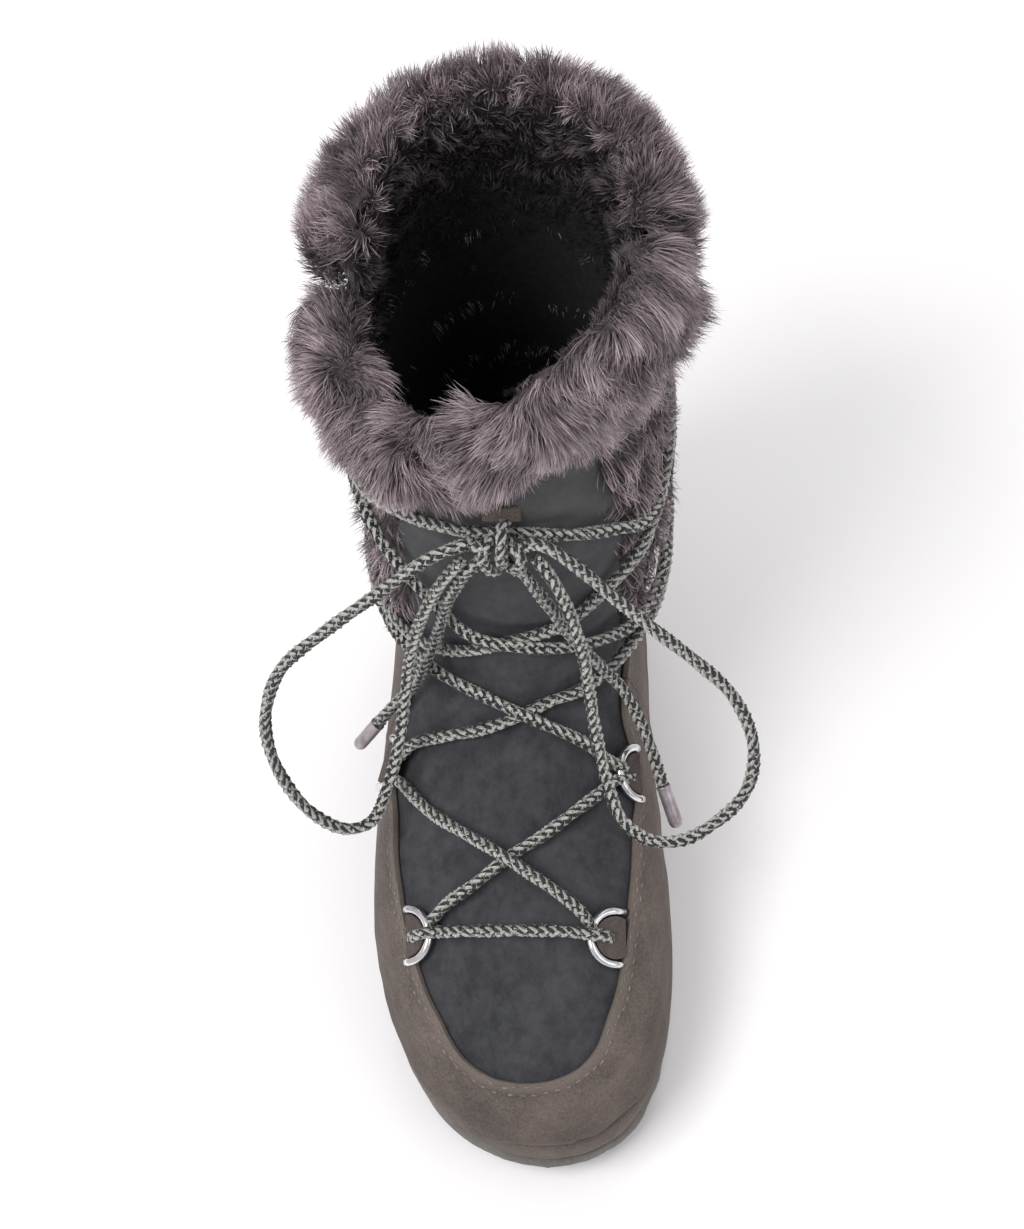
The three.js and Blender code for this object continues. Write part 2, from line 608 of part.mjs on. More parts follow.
const END_MEDIAL = onFoot([
  [5, -4.8, 172], [8.3, -6, 166.5], [14, -7, 152.5], [19.5, -7.2, 136.5], [24.2, -6.5, 122.5],
  [30.5, -4, 106], [38, -6.5, 92.5], [44.5, -17, 83], [50, -29.5, 72],
]);

// A round cord through these points, closed at both ends.
function cordTube(points, radius, sides, step) {
  const path = new THREE.CatmullRomCurve3(points, false, 'centripetal');
  const section = new THREE.Shape(Array.from({ length: sides }, (_, i) => {
    const turn = (2 * Math.PI * i) / sides;
    return new THREE.Vector2(radius * Math.cos(turn), radius * Math.sin(turn));
  }));
  return new THREE.ExtrudeGeometry(section, {
    extrudePath: path,
    steps: Math.ceil(path.getLength() / step),
    bevelEnabled: false,
  });
}

const laceTube = (points) => solid(cordTube(points, LACE_RADIUS, LACE_SIDES, LACE_STEP));
const cordSolid = (points) => cordTube(points, LACE_RADIUS, CORD_SIDES, CORD_STEP);

function makeKnot() {
  const knot = new THREE.SphereGeometry(1, KNOT.around, KNOT.down);
  knot.scale(KNOT.across, KNOT.deep, KNOT.tall);
  return knot.translate(KNOT.x, KNOT.y, KNOT.z);
}

function makeKeeper() {
  const keeper = new THREE.BoxGeometry(KEEPER.width, KEEPER.thickness, KEEPER.height);
  return keeper.translate(KEEPER.x, KEEPER.y, KEEPER.z);
}

// A metal tip that carries on in the direction that a cord ends in.
function makeAglet(points) {
  const end = points[points.length - 1];
  const way = end.clone().sub(points[points.length - 2]).normalize();
  const tip = new THREE.CylinderGeometry(AGLET.radius, AGLET.radius, AGLET.length, AGLET.sides);
  tip.applyQuaternion(new THREE.Quaternion().setFromUnitVectors(new THREE.Vector3(0, 1, 0), way));
  const middle = end.clone().addScaledVector(way, FIT_GAP + AGLET.length / 2);
  return tip.translate(middle.x, middle.y, middle.z);
}

// ---- half rings ----
// For each ring: the middle of its flat side, the way its bow points and the way it faces.
const HALF_RINGS = [
  { name: 'low_lateral', at: [-34, -79.3, 59.2], bow: [0.84, -0.17, 0.5], face: [-0.5, -0.32, 0.8] },
  { name: 'low_medial', at: [34.5, -81.2, 63.2], bow: [-0.87, -0.15, 0.4], face: [0.44, -0.27, 0.86] },
  { name: 'high_lateral', at: [-43.8, -20.1, 69], bow: [0.44, -0.56, 0.71], face: [-0.86, 0, 0.5] },
  { name: 'high_medial', at: [41.7, -25.4, 72.2], bow: [-0.66, -0.3, 0.68], face: [0.72, -0.15, 0.68] },
];

// Puts a shape drawn in the ring's own plane (x along the bow, z facing out) in its place on the boot.
function onRing(geometry, { at, bow, face }) {
  const out = new THREE.Vector3(...face).normalize();
  const across = out.clone().cross(new THREE.Vector3(...bow)).normalize();
  const frame = new THREE.Matrix4().makeBasis(across.clone().cross(out), across, out);
  return geometry.applyMatrix4(frame.setPosition(...at));
}

function makeHalfRing() {
  const turn = THREE.MathUtils.degToRad(RING_HALF_TURN);
  const bow = Array.from({ length: RING_BOW_POINTS + 1 }, (_, i) => {
    const angle = turn * (2 * i / RING_BOW_POINTS - 1);
    return new THREE.Vector3(RING_BOW * Math.cos(angle), RING_BOW * Math.sin(angle), 0);
  });
  return cordTube(bow, RING_WIRE, RING_SIDES, RING_STEP);
}

function makeTab() {
  const outline = new THREE.Shape();
  outline.absarc(TAB_ROOT, 0, TAB_RADIUS, -Math.PI / 2, Math.PI / 2);
  const tab = new THREE.ExtrudeGeometry(outline, {
    depth: TAB_THICKNESS,
    bevelEnabled: false,
    curveSegments: 10,
  });
  return tab.translate(0, 0, -TAB_THICKNESS / 2);
}

// ---- assembly ----
const boot = new THREE.Group();
function addPart(name, geometry, look) {
  const mesh = new THREE.Mesh(geometry, new THREE.MeshStandardMaterial(look));
  mesh.name = name;
  boot.add(mesh);
  return mesh;
}

addPart('outsole', geometryOf(makeOutsole()), RUBBER);
addPart('platform', geometryOf(makePlatform()), SUEDE);
addPart('insole', geometryOf(makeInsole()), FELT);
addPart('upper', geometryOf(makeUpper()), NUBUCK);
addPart('mudguard', geometryOf(makeMudguard()), SUEDE);
addPart('counter', geometryOf(makeCounter()), SUEDE);
addPart('shaft_fur', geometryOf(makeShaftFur()), FUR);
addPart('collar_fur', geometryOf(furRoll(COLLAR).subtract(shellRoom())), FUR);
addPart('cuff_fur', geometryOf(furRoll(CUFF).subtract(shellRoom())), FUR);

addPart('lace_bar', geometryOf(laceTube(LACE_BAR)), ROPE);
addPart('lace_cross_low', geometryOf(laceTube(CROSS_OVER).add(laceTube(CROSS_UNDER))), ROPE);
addPart('lace_wraps', geometryOf(laceTube(WRAP_FROM_LATERAL).add(laceTube(WRAP_FROM_MEDIAL))), ROPE);

addPart('lace_keeper', makeKeeper(), SUEDE);
for (const ring of HALF_RINGS) {
  addPart(`half_ring_${ring.name}`, onRing(makeHalfRing(), ring), STEEL);
  addPart(`tab_${ring.name}`, onRing(makeTab(), ring), TAB_LEATHER);
}
addPart('lace_knot', makeKnot(), ROPE);
addPart('lace_loop_lateral', cordSolid(LOOP_LATERAL), ROPE);
addPart('lace_loop_medial', cordSolid(LOOP_MEDIAL), ROPE);
addPart('lace_end_lateral', cordSolid(END_LATERAL), ROPE);
addPart('lace_end_medial', cordSolid(END_MEDIAL), ROPE);
addPart('aglet_lateral', makeAglet(END_LATERAL), STEEL);
addPart('aglet_medial', makeAglet(END_MEDIAL), STEEL);

export default boot;
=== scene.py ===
# %% [markdown]
# # A fur-lined snow boot
# The boot stands alone on a pale floor: a charcoal nubuck upper, taupe suede round the foot, a grey rubber
# sole, deep fur at the collar and down the back, and a rope lace wound round the ankle and tied in a bow.
# The frame holds the true sizes, so every piece here starts from it and only the surface is refined.

# %% Load the frame
import math

import bmesh
import bpy
import numpy as np
from mathutils import Matrix, Vector
from mathutils.bvhtree import BVHTree
from mathutils.kdtree import KDTree


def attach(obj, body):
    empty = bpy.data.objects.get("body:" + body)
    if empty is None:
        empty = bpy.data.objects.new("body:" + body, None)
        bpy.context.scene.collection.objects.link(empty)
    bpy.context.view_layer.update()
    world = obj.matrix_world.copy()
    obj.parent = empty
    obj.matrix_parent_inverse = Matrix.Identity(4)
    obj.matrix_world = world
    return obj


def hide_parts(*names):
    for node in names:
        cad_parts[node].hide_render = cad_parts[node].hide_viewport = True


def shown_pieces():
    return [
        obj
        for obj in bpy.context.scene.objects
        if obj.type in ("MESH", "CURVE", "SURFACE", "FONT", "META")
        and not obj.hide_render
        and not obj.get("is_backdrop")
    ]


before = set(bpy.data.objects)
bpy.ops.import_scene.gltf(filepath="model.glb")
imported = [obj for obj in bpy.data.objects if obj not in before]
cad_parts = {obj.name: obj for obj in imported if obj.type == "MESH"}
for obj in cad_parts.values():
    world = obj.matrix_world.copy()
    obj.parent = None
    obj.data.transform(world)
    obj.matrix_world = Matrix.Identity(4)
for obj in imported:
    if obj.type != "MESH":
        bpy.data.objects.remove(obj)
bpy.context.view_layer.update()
MM = 0.001

# %% [markdown]
# ## Camera
# The boot is seen from high in front, so both the sole's rim at the toe and the inside of the collar show.
# A camera could track an empty, but a matrix built from its forward, up and right directions is exact:
# forward runs from the eye to the aim, and up is square to it.

# %% Camera
EYE = Vector((0.057, -0.4178, 0.8286))
AIM = Vector((-0.0006, 0.02, 0.1))
DOWNWARD = math.radians(59)
FOCAL_LENGTH = 49.54
SENSOR_HEIGHT = 24

forward = (AIM - EYE).normalized()
upward = Vector((0, math.sin(DOWNWARD), math.cos(DOWNWARD)))
right = forward.cross(upward)
camera = bpy.data.objects.new("camera", bpy.data.cameras.new("camera"))
camera.data.sensor_fit = "VERTICAL"
camera.data.sensor_height = SENSOR_HEIGHT
camera.data.lens = FOCAL_LENGTH
camera.matrix_world = Matrix.Translation(EYE) @ Matrix((right, upward, -forward)).transposed().to_4x4()
bpy.context.scene.collection.objects.link(camera)
bpy.context.scene.camera = camera
print("camera: up is square to forward within", round(abs(forward.dot(upward)), 6))

# %% [markdown]
# ## Floor and lamps
# A studio sweep is a plain pale floor that fades into a pale backdrop. A large soft lamp high on the left
# gives the gentle shadow on the right of the boot, a second one fills, and the bright world lifts the rest.
# Area lamps are used because their size sets how soft a shadow is.

# %% Floor and lamps
def srgb(red, green, blue):
    """A paint value from 0 to 255 as the linear colour that a shader wants."""
    linear = [c / 12.92 if c <= 0.04045 else ((c + 0.055) / 1.055) ** 2.4
              for c in (red / 255, green / 255, blue / 255)]
    return (*linear, 1)


def add_lamp(name, place, size, power):
    """An area lamp that looks at the middle of the boot."""
    lamp = bpy.data.objects.new(name, bpy.data.lights.new(name, "AREA"))
    lamp.data.size = size
    lamp.data.energy = power
    lamp.location = place
    lamp.rotation_euler = (AIM - Vector(place)).to_track_quat("-Z", "Y").to_euler()
    bpy.context.scene.collection.objects.link(lamp)


FLOOR_HALF = 3.0
WORLD_STRENGTH = 0.62

floor_mesh = bpy.data.meshes.new("floor")
shape = bmesh.new()
bmesh.ops.create_grid(shape, x_segments=1, y_segments=1, size=FLOOR_HALF)
shape.to_mesh(floor_mesh)
shape.free()
floor = bpy.data.objects.new("floor", floor_mesh)
bpy.context.scene.collection.objects.link(floor)
paper = bpy.data.materials.new("floor_paper")
paper.use_nodes = True
paper.node_tree.nodes["Principled BSDF"].inputs["Base Color"].default_value = srgb(247, 245, 246)
paper.node_tree.nodes["Principled BSDF"].inputs["Roughness"].default_value = 0.9
floor_mesh.materials.append(paper)
floor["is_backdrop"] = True

add_lamp("key", (-0.8, -0.6, 1.5), 0.9, 20)
add_lamp("fill", (1.3, -0.7, 1.1), 1.2, 5)
add_lamp("back", (0.1, 1.3, 1.3), 1.0, 9)
world = bpy.data.worlds.new("studio")
world.use_nodes = True
world.node_tree.nodes["Background"].inputs["Color"].default_value = (1, 1, 1, 1)
world.node_tree.nodes["Background"].inputs["Strength"].default_value = WORLD_STRENGTH
bpy.context.scene.world = world
bpy.context.scene.view_settings.view_transform = "Standard"

# %% [markdown]
# ## A material kit
# Every finish here is nap, fur, braid or metal, and all of them are a Principled shader whose colour and
# bump come from noise on Object coordinates. Small helpers that add a node and join it to the last one keep
# each recipe short enough to read as a list of what is seen: broad shade, fine nap, bump.

# %% Material kit
def new_material(name, roughness, metallic=0.0, sheen=0.0, sheen_tint=(1, 1, 1, 1)):
    """A node material with its plain numbers set on the shader. Gives back the material and its shader."""
    material = bpy.data.materials.new(name)
    material.use_nodes = True
    shader = material.node_tree.nodes["Principled BSDF"]
    shader.inputs["Roughness"].default_value = roughness
    shader.inputs["Metallic"].default_value = metallic
    shader.inputs["Sheen Weight"].default_value = sheen
    shader.inputs["Sheen Roughness"].default_value = 0.45
    shader.inputs["Sheen Tint"].default_value = sheen_tint
    return material, shader


def add_node(material, kind, wires=None, **settings):
    """A node with its settings. wires maps an input's name or number to a socket or a value."""
    node = material.node_tree.nodes.new(kind)
    for key, value in settings.items():
        setattr(node, key, value)
    for key, value in (wires or {}).items():
        if isinstance(value, bpy.types.NodeSocket):
            material.node_tree.links.new(value, node.inputs[key])
        else:
            node.inputs[key].default_value = value
    return node


def noise(material, scale, detail=4.0, roughness=0.6, stretch=None):
    """Noise on Object coordinates, scale in spots a metre, stretched by a Mapping where the nap has a way."""
    vector = add_node(material, "ShaderNodeTexCoord").outputs["Object"]
    if stretch:
        vector = add_node(material, "ShaderNodeMapping", {"Vector": vector, "Scale": stretch}).outputs[0]
    wires = {"Vector": vector, "Scale": scale, "Detail": detail, "Roughness": roughness}
    return add_node(material, "ShaderNodeTexNoise", wires).outputs[0]


def ramp(material, factor, stops):
    """A colour ramp from stops of (place, colour)."""
    node = add_node(material, "ShaderNodeValToRGB", {0: factor})
    band = node.color_ramp
    while len(band.elements) < len(stops):
        band.elements.new(0.5)
    for element, (place, colour) in zip(band.elements, stops):
        element.position = place
        element.color = colour
    return node.outputs[0]


def mix(material, factor, first, second, blend="MIX"):
    """A colour mix; first and second are sockets or colours."""
    return add_node(material, "ShaderNodeMix", {0: factor, 6: first, 7: second},
                    data_type="RGBA", blend_type=blend).outputs[2]


def between(material, value, low, high):
    """A value turned to 0 at low and 1 at high, softly."""
    return add_node(material, "ShaderNodeMapRange", {0: value, 1: low, 2: high},
                    interpolation_type="SMOOTHSTEP").outputs[0]


def bump(material, shader, height, strength, distance, onto=None):
    """A bump that feeds the shader, over another bump where there is one."""
    wires = {"Height": height, "Strength": strength, "Distance": distance}
    if onto:
        wires["Normal"] = onto
    node = add_node(material, "ShaderNodeBump", wires)
    material.node_tree.links.new(node.outputs[0], shader.inputs["Normal"])
    return node.outputs[0]


def paint(material, shader, colour):
    material.node_tree.links.new(colour, shader.inputs["Base Color"])


def object_height(material):
    """How high a point of the boot is, in metres."""
    place = add_node(material, "ShaderNodeTexCoord").outputs["Object"]
    return add_node(material, "ShaderNodeSeparateXYZ", {0: place}).outputs[2]


def own_map(material):
    """The two values of a piece's own map, as two sockets."""
    place = add_node(material, "ShaderNodeUVMap", uv_map="own_map").outputs[0]
    return add_node(material, "ShaderNodeSeparateXYZ", {0: place}).outputs


def weaker(material, value, share):
    return add_node(material, "ShaderNodeMath", {0: value, 1: share}, operation="MULTIPLY").outputs[0]


def make_mottled(name, stops, spots, grain=None, strength=0.0, distance=0.0, **finish):
    """A finish of two shades in soft spots, with a fine grain. spots and grain are noise settings."""
    material, shader = new_material(name, **finish)
    paint(material, shader, ramp(material, noise(material, *spots), stops))
    if grain:
        bump(material, shader, noise(material, *grain), strength, distance)
    return material


print("material kit ready; mid grey is", round(srgb(128, 128, 128)[0], 3), "as linear light")

# %% [markdown]
# ## How a piece joins the boot
# A real boot's parts are all sewn or glued to one body, so each piece is an object at the origin that rides
# on that body, hides the solid of the frame that it stands for, and takes its finishes. Shapes are made with
# bmesh or by modifiers on a passing object, and two helpers turn either one into a smooth mesh.

# %% Pieces
def add_piece(name, mesh, slot, node, *materials):
    """A new object at the origin. node is the frame's solid that it stands for, or None."""
    piece = bpy.data.objects.new(name, mesh)
    bpy.context.scene.collection.objects.link(piece)
    for material in materials:
        mesh.materials.append(material)
    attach(piece, "root")
    if node:
        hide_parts(node)
    return piece


def close_shape(shape, name):
    """The mesh of a bmesh shape, which is freed."""
    mesh = bpy.data.meshes.new(name)
    shape.to_mesh(mesh)
    shape.free()
    return mesh


def finish_shape(shape, name, place):
    """A closed shape with its faces turned out, moved to its place and shaded smooth."""
    bmesh.ops.recalc_face_normals(shape, faces=shape.faces)
    bmesh.ops.transform(shape, matrix=place, verts=shape.verts)
    mesh = close_shape(shape, name)
    mesh.shade_smooth()
    return mesh


def as_worker(mesh):
    """A passing object that carries modifiers for a mesh."""
    worker = bpy.data.objects.new("worker", mesh)
    bpy.context.scene.collection.objects.link(worker)
    return worker


def made_real(worker):
    """The smooth mesh that a worker's modifiers give. The worker itself goes."""
    made = bpy.data.meshes.new_from_object(worker.evaluated_get(bpy.context.evaluated_depsgraph_get()))
    bpy.data.objects.remove(worker)
    made.shade_smooth()
    return made


print("piece helpers ready: every piece rides on root")

# %% [markdown]
# ## The rope lace: how a braid is built
# The lace is a round braid of eight yarns, four wound each way, dark and pale. A plain tube with a pattern
# would do from far away, but close up a braid is known by its lumpy edge. So each yarn is a real strip that
# winds round the lace's route and rides over and under the yarns that go the other way. The yarns are
# joined meshes from arrays, because there are thousands of small turns and one loop makes them all. Each yarn
# is dark along one side and pale along the other, which gives the braid its fine dark and pale chevrons.

# %% Routes and braids
LAY = 14 * MM             # a yarn's way along the rope in one turn
ROPE_STEP = 1.6 * MM
CURVE_STEPS = 24          # steps between two listed points
YARNS = 8
YARN_RING = 1.35 * MM     # from the rope's middle to a yarn's
YARN_WAVE = 0.42 * MM     # how far a yarn rides over and dives under
YARN_WIDE = 1.15 * MM
YARN_DEEP = 0.65 * MM
CORNERS = 4               # a yarn's section: side, top, side, underneath
YARN_SIDES = (0.1, 0.45, 0.9, 0.55)   # the own map at each corner: dark below the middle, pale above
DARK_SHARE = 0.48


def unit(vectors):
    return vectors / np.maximum(np.linalg.norm(vectors, axis=-1, keepdims=True), 1e-12)


def way_along(line):
    """How far along a line each of its points is."""
    return np.concatenate([[0], np.cumsum(np.linalg.norm(np.diff(line, axis=0), axis=1))])


def walk(line, step):
    """The line again, in even steps."""
    along = way_along(line)
    count = max(2, round(along[-1] / step))
    places = np.linspace(0, along[-1], count + 1)
    return np.stack([np.interp(places, along, line[:, axis]) for axis in range(3)], axis=1)


def smooth_route(points, step=ROPE_STEP):
    """A curve through listed points in millimetres, in even steps, in metres."""
    points = np.array(points, float) * MM
    points = np.vstack([2 * points[0] - points[1], points, 2 * points[-1] - points[-2]])
    line = []
    for a, b, c, d in zip(points, points[1:], points[2:], points[3:]):
        gaps = [math.sqrt(np.linalg.norm(q - p)) for p, q in ((a, b), (b, c), (c, d))]
        ka, kb, kc, kd = np.cumsum([0, *gaps])
        t = np.linspace(kb, kc, CURVE_STEPS, endpoint=False)[:, None]
        ab = ((kb - t) * a + (t - ka) * b) / (kb - ka)
        bc = ((kc - t) * b + (t - kb) * c) / (kc - kb)
        cd = ((kd - t) * c + (t - kc) * d) / (kd - kc)
        abc = ((kc - t) * ab + (t - ka) * bc) / (kc - ka)
        bcd = ((kd - t) * bc + (t - kb) * cd) / (kd - kb)
        line.append(((kc - t) * abc + (t - kb) * bcd) / (kc - kb))
    line.append(points[-2:-1])
    return walk(np.vstack(line), step)


def carried_sides(route):
    """Directions to the side and over at each point, carried along without a twist."""
    ahead = unit(np.gradient(route, axis=0))
    start = np.cross(ahead[0], [0, 0, 1]) if abs(ahead[0][2]) < 0.9 else np.cross(ahead[0], [1, 0, 0])
    side = np.zeros_like(route)
    for i, way in enumerate(ahead):
        start = start - way * start.dot(way)
        start = start / np.linalg.norm(start)
        side[i] = start
    return side, np.cross(ahead, side)


def ribbon_faces(rings, corners):
    """Quads between rings of corner points, and a cap at each end."""
    ring = np.arange(rings - 1)[:, None] * corners
    corner = np.arange(corners)
    after = (corner + 1) % corners
    sides = np.stack([ring + corner, ring + after, ring + corners + after, ring + corners + corner], axis=-1)
    caps = [corner[::-1], (rings - 1) * corners + corner]
    return np.vstack([sides.reshape(-1, 4), *caps])


def mesh_from_arrays(name, points, faces, marks):
    """A mesh from arrays, shaded smooth, with two values of its own map for each point."""
    mesh = bpy.data.meshes.new(name)
    mesh.from_pydata(points.tolist(), [], faces.tolist())
    layer = mesh.uv_layers.new(name="own_map")
    corner_points = np.empty(len(mesh.loops), int)
    mesh.loops.foreach_get("vertex_index", corner_points)
    layer.data.foreach_set("uv", marks[corner_points].ravel())
    mesh.shade_smooth()
    return mesh


def braid(name, routes):
    """Eight yarns round each route. The piece's own map says how far along, and where across the yarn."""
    points, faces, marks, start = [], [], [], 0
    for route in routes:
        side, over = carried_sides(route)
        along = way_along(route)
        wave = np.cos(YARNS / 2 * 2 * math.pi * along / LAY)
        for yarn in range(YARNS):
            way = 1 if yarn % 2 else -1
            turn = way * 2 * math.pi * along / LAY + (yarn // 2) * math.pi / 2
            out = np.cos(turn)[:, None] * side + np.sin(turn)[:, None] * over
            line = route + out * (YARN_RING + way * YARN_WAVE * wave)[:, None]
            wide = np.cross(unit(np.gradient(line, axis=0)), out) * YARN_WIDE
            deep = out * YARN_DEEP
            rings = np.stack([line + wide, line + deep, line - wide, line - deep], axis=1)
            points.append(rings.reshape(-1, 3))
            faces.append(ribbon_faces(len(line), CORNERS) + start)
            marks.append(np.stack([np.repeat(along, CORNERS), np.tile(YARN_SIDES, len(line))], axis=1))
            start += CORNERS * len(line)
    mesh = mesh_from_arrays(name, np.vstack(points), np.vstack(faces), np.vstack(marks))
    shape = bmesh.new()
    shape.from_mesh(mesh)
    bmesh.ops.recalc_face_normals(shape, faces=shape.faces)
    shape.to_mesh(mesh)
    shape.free()
    return mesh


def make_rope_material():
    """Yarns dark along one side and pale along the other, with a few flecks of the other shade."""
    material, shader = new_material("braided_yarn", roughness=0.62, sheen=0.25)
    across = own_map(material)[1]
    pale, dark = srgb(186, 185, 181), srgb(26, 25, 25)
    yarn = ramp(material, across, [(0, dark), (DARK_SHARE, pale)])
    other = ramp(material, across, [(0, pale), (DARK_SHARE, dark)])
    for socket in (yarn, other):
        socket.node.color_ramp.interpolation = "CONSTANT"
    fleck = between(material, noise(material, 900, 3), 0.6, 0.66)
    worn = mix(material, fleck, yarn, other)
    fibre = noise(material, 2600, 2)
    fibre_shade = ramp(material, fibre, [(0.3, dark), (0.7, pale)])
    paint(material, shader, mix(material, 0.35, worn, fibre_shade, "OVERLAY"))
    bump(material, shader, fibre, 0.5, 0.2 * MM)
    return material


rope_yarn = make_rope_material()

# %% [markdown]
# ## The bow: loops and ends
# The bow's two loops and two ends hang free from the knot, so each is a cord with its real length. They are
# limp rope: they leave the knot level, bend down within a few diameters and follow the boot's sides. The
# routes are short lists of points, in millimetres, and a curve makes them smooth. Each end has
# a rolled metal sleeve, which is a profile spun all the way round.

# %% Bow
LOOP_LATERAL = [
    (-7.4, -3, 180.5), (-11, -4.5, 181), (-19.5, -6.5, 178), (-34.5, -10.5, 166.5), (-57, -16.5, 148),
    (-70.5, -21, 135), (-76.5, -27, 122), (-77.5, -33.5, 111), (-73.5, -41.5, 99.5), (-65, -48.5, 88.5),
    (-54, -51, 81), (-45.5, -47, 79.5), (-41, -36.5, 83), (-37, -26.5, 92.5), (-33.5, -14, 110),
    (-30, -8.5, 128), (-25, -6.5, 145), (-17, -5.5, 164), (-11, -5, 173.5)]
LOOP_MEDIAL = [
    (10.4, -3.6, 181.5), (15, -5, 181.5), (21.5, -7, 177.5), (34, -12, 166), (46.5, -19, 158),
    (60, -24, 146), (71.5, -29, 134), (78, -36.5, 122), (79, -43, 112), (76, -48.5, 102),
    (67.5, -53, 92), (56.5, -56, 84.5), (45, -54, 81), (36.5, -49, 86.5), (32, -39.5, 94),
    (29, -30, 105), (27, -23, 121), (25, -17, 140), (20, -11, 160), (15.5, -8, 171), (11.8, -5.5, 175.5)]
END_LATERAL = [
    (-4.5, -4.2, 173.5), (-8, -5, 169.5), (-12.5, -5, 161.5), (-17.5, -4.2, 147.5), (-23, -3.3, 124),
    (-28.6, -4.2, 107), (-34, -3.5, 91), (-41.5, -4.5, 80), (-47, -6, 71.5)]
END_MEDIAL = [
    (5, -4.8, 172), (8.3, -6, 166.5), (14, -7, 152.5), (19.5, -7.2, 136.5), (24.2, -6.5, 122.5),
    (30.5, -4, 106), (38, -6.5, 92.5), (44.5, -17, 83), (50, -29.5, 72)]
AGLET_RADIUS = 2.5 * MM
AGLET_GAP = 0.3 * MM
AGLET_SIDES = 28

# how far out of the sleeve's radius, and how far along it in millimetres
AGLET_PROFILE = [(0.0, 0.2), (0.86, 0.2), (0.9, 0.0), (1.0, 0.3), (0.98, 0.9), (0.92, 1.3), (0.94, 2.2),
                 (0.94, 12.6), (0.9, 13.6), (0.74, 14.5), (0.45, 14.95), (0.0, 15.0)]

aglet_metal = make_mottled("aglet_metal", [(0.35, srgb(132, 122, 128)), (0.7, srgb(176, 166, 172))],
                           (260, 4), (900, 3), 0.15, 0.1 * MM, roughness=0.34, metallic=0.55)


def turned_to(way):
    """The turn that takes +Z to a direction."""
    return Vector((0, 0, 1)).rotation_difference(Vector(way)).to_matrix().to_4x4()


def make_aglet(side, points):
    """A rolled metal sleeve past the rope's end, its mouth flared and its tip rounded and pinched."""
    end, before = Vector(points[-1]) * MM, Vector(points[-2]) * MM
    way = (end - before).normalized()
    shape = bmesh.new()
    chain = [shape.verts.new((out * AGLET_RADIUS, 0, along * MM)) for out, along in AGLET_PROFILE]
    edges = [shape.edges.new(pair) for pair in zip(chain, chain[1:])]
    bmesh.ops.spin(shape, geom=chain + edges, cent=(0, 0, 0), axis=(0, 0, 1), angle=2 * math.pi,
                   steps=AGLET_SIDES, use_merge=True)
    bmesh.ops.remove_doubles(shape, verts=shape.verts, dist=1e-6)
    name = f"aglet_{side}_sleeve"
    place = Matrix.Translation(end + way * AGLET_GAP) @ turned_to(way)
    return add_piece(name, finish_shape(shape, name, place), "lace_tip", f"aglet_{side}", aglet_metal)


def make_free_rope(name, node, points, with_pieces=()):
    """A hanging rope of its real length."""
    route = smooth_route(points)
    piece = add_piece(name, braid(name, [route]), "lace_rope", node, rope_yarn)


make_free_rope("bow_loop_lateral", "lace_loop_lateral", LOOP_LATERAL)
make_free_rope("bow_loop_medial", "lace_loop_medial", LOOP_MEDIAL)
for side, points in (("lateral", END_LATERAL), ("medial", END_MEDIAL)):
    make_free_rope(f"bow_end_{side}", f"lace_end_{side}", points, [make_aglet(side, points)])

# %% [markdown]
# ## The lace over the foot and round the ankle
# One bar joins the two low half rings, the strands cross twice on the way up, and each strand then winds
# round the ankle before it comes back to the front for the bow. On the foot the points are placed directly.
# On the shaft they are an angle round it, a height and how far the rope stands off the leather, because
# that is how a lace is wound, and the shaft's own oval turns them into places.

# %% Shaft oval
# height, nearest, furthest, widest place, medial, lateral, ridge, roundness of the front and of the back
SHAFT_ROWS = np.array([
    (130, 33, 157.5, 94, 44.5, -43.5, 2, 2.5, 2.1),
    (155, 35, 155.5, 94, 45.5, -44, 2, 2.5, 2.15),
    (185, 38, 156.5, 96, 46, -44.5, 1, 2.5, 2.2),
    (215, 41, 158, 98, 46.5, -46, 0, 2.4, 2.2),
    (250, 44, 159, 100, 46.5, -46.5, 0, 2.4, 2.2)])
HEEL_BACK = -32
LACE_LIFT = 3.1


def shaft_point(angle, height, lift=LACE_LIFT):
    """A place round the shaft: 0 degrees is medial, 90 the front, 180 lateral and 270 the back."""
    near, far, widest, medial, lateral, ridge, crown, base = [
        np.interp(height, SHAFT_ROWS[:, 0], SHAFT_ROWS[:, column]) for column in range(1, 9)]
    near, far, medial, lateral = near - lift, far + lift, medial + lift, lateral - lift
    c, s = math.cos(math.radians(angle)), math.sin(math.radians(angle))
    power = 2 / (crown if s >= 0 else base)
    middle, half = (medial + lateral) / 2, (medial - lateral) / 2
    rise = abs(s) ** power
    x = middle + half * math.copysign(abs(c) ** power, c) + (rise * (ridge - middle) if s >= 0 else 0)
    reach = widest - (widest - near) * rise if s >= 0 else widest + (far - widest) * rise
    return (x, HEEL_BACK + reach, height)


print("shaft at 150 mm: front", np.round(shaft_point(90, 150), 1), "back", np.round(shaft_point(270, 150), 1))

# %% [markdown]
# ## The wound lace's route
# Over the foot the rope bridges from ring to ring and only rests where strands cross. Round the ankle it
# sinks into the fur, and it stands off most over the heel's roll. The angles run on past a full turn, so that
# one list reads as a hand would wind it.

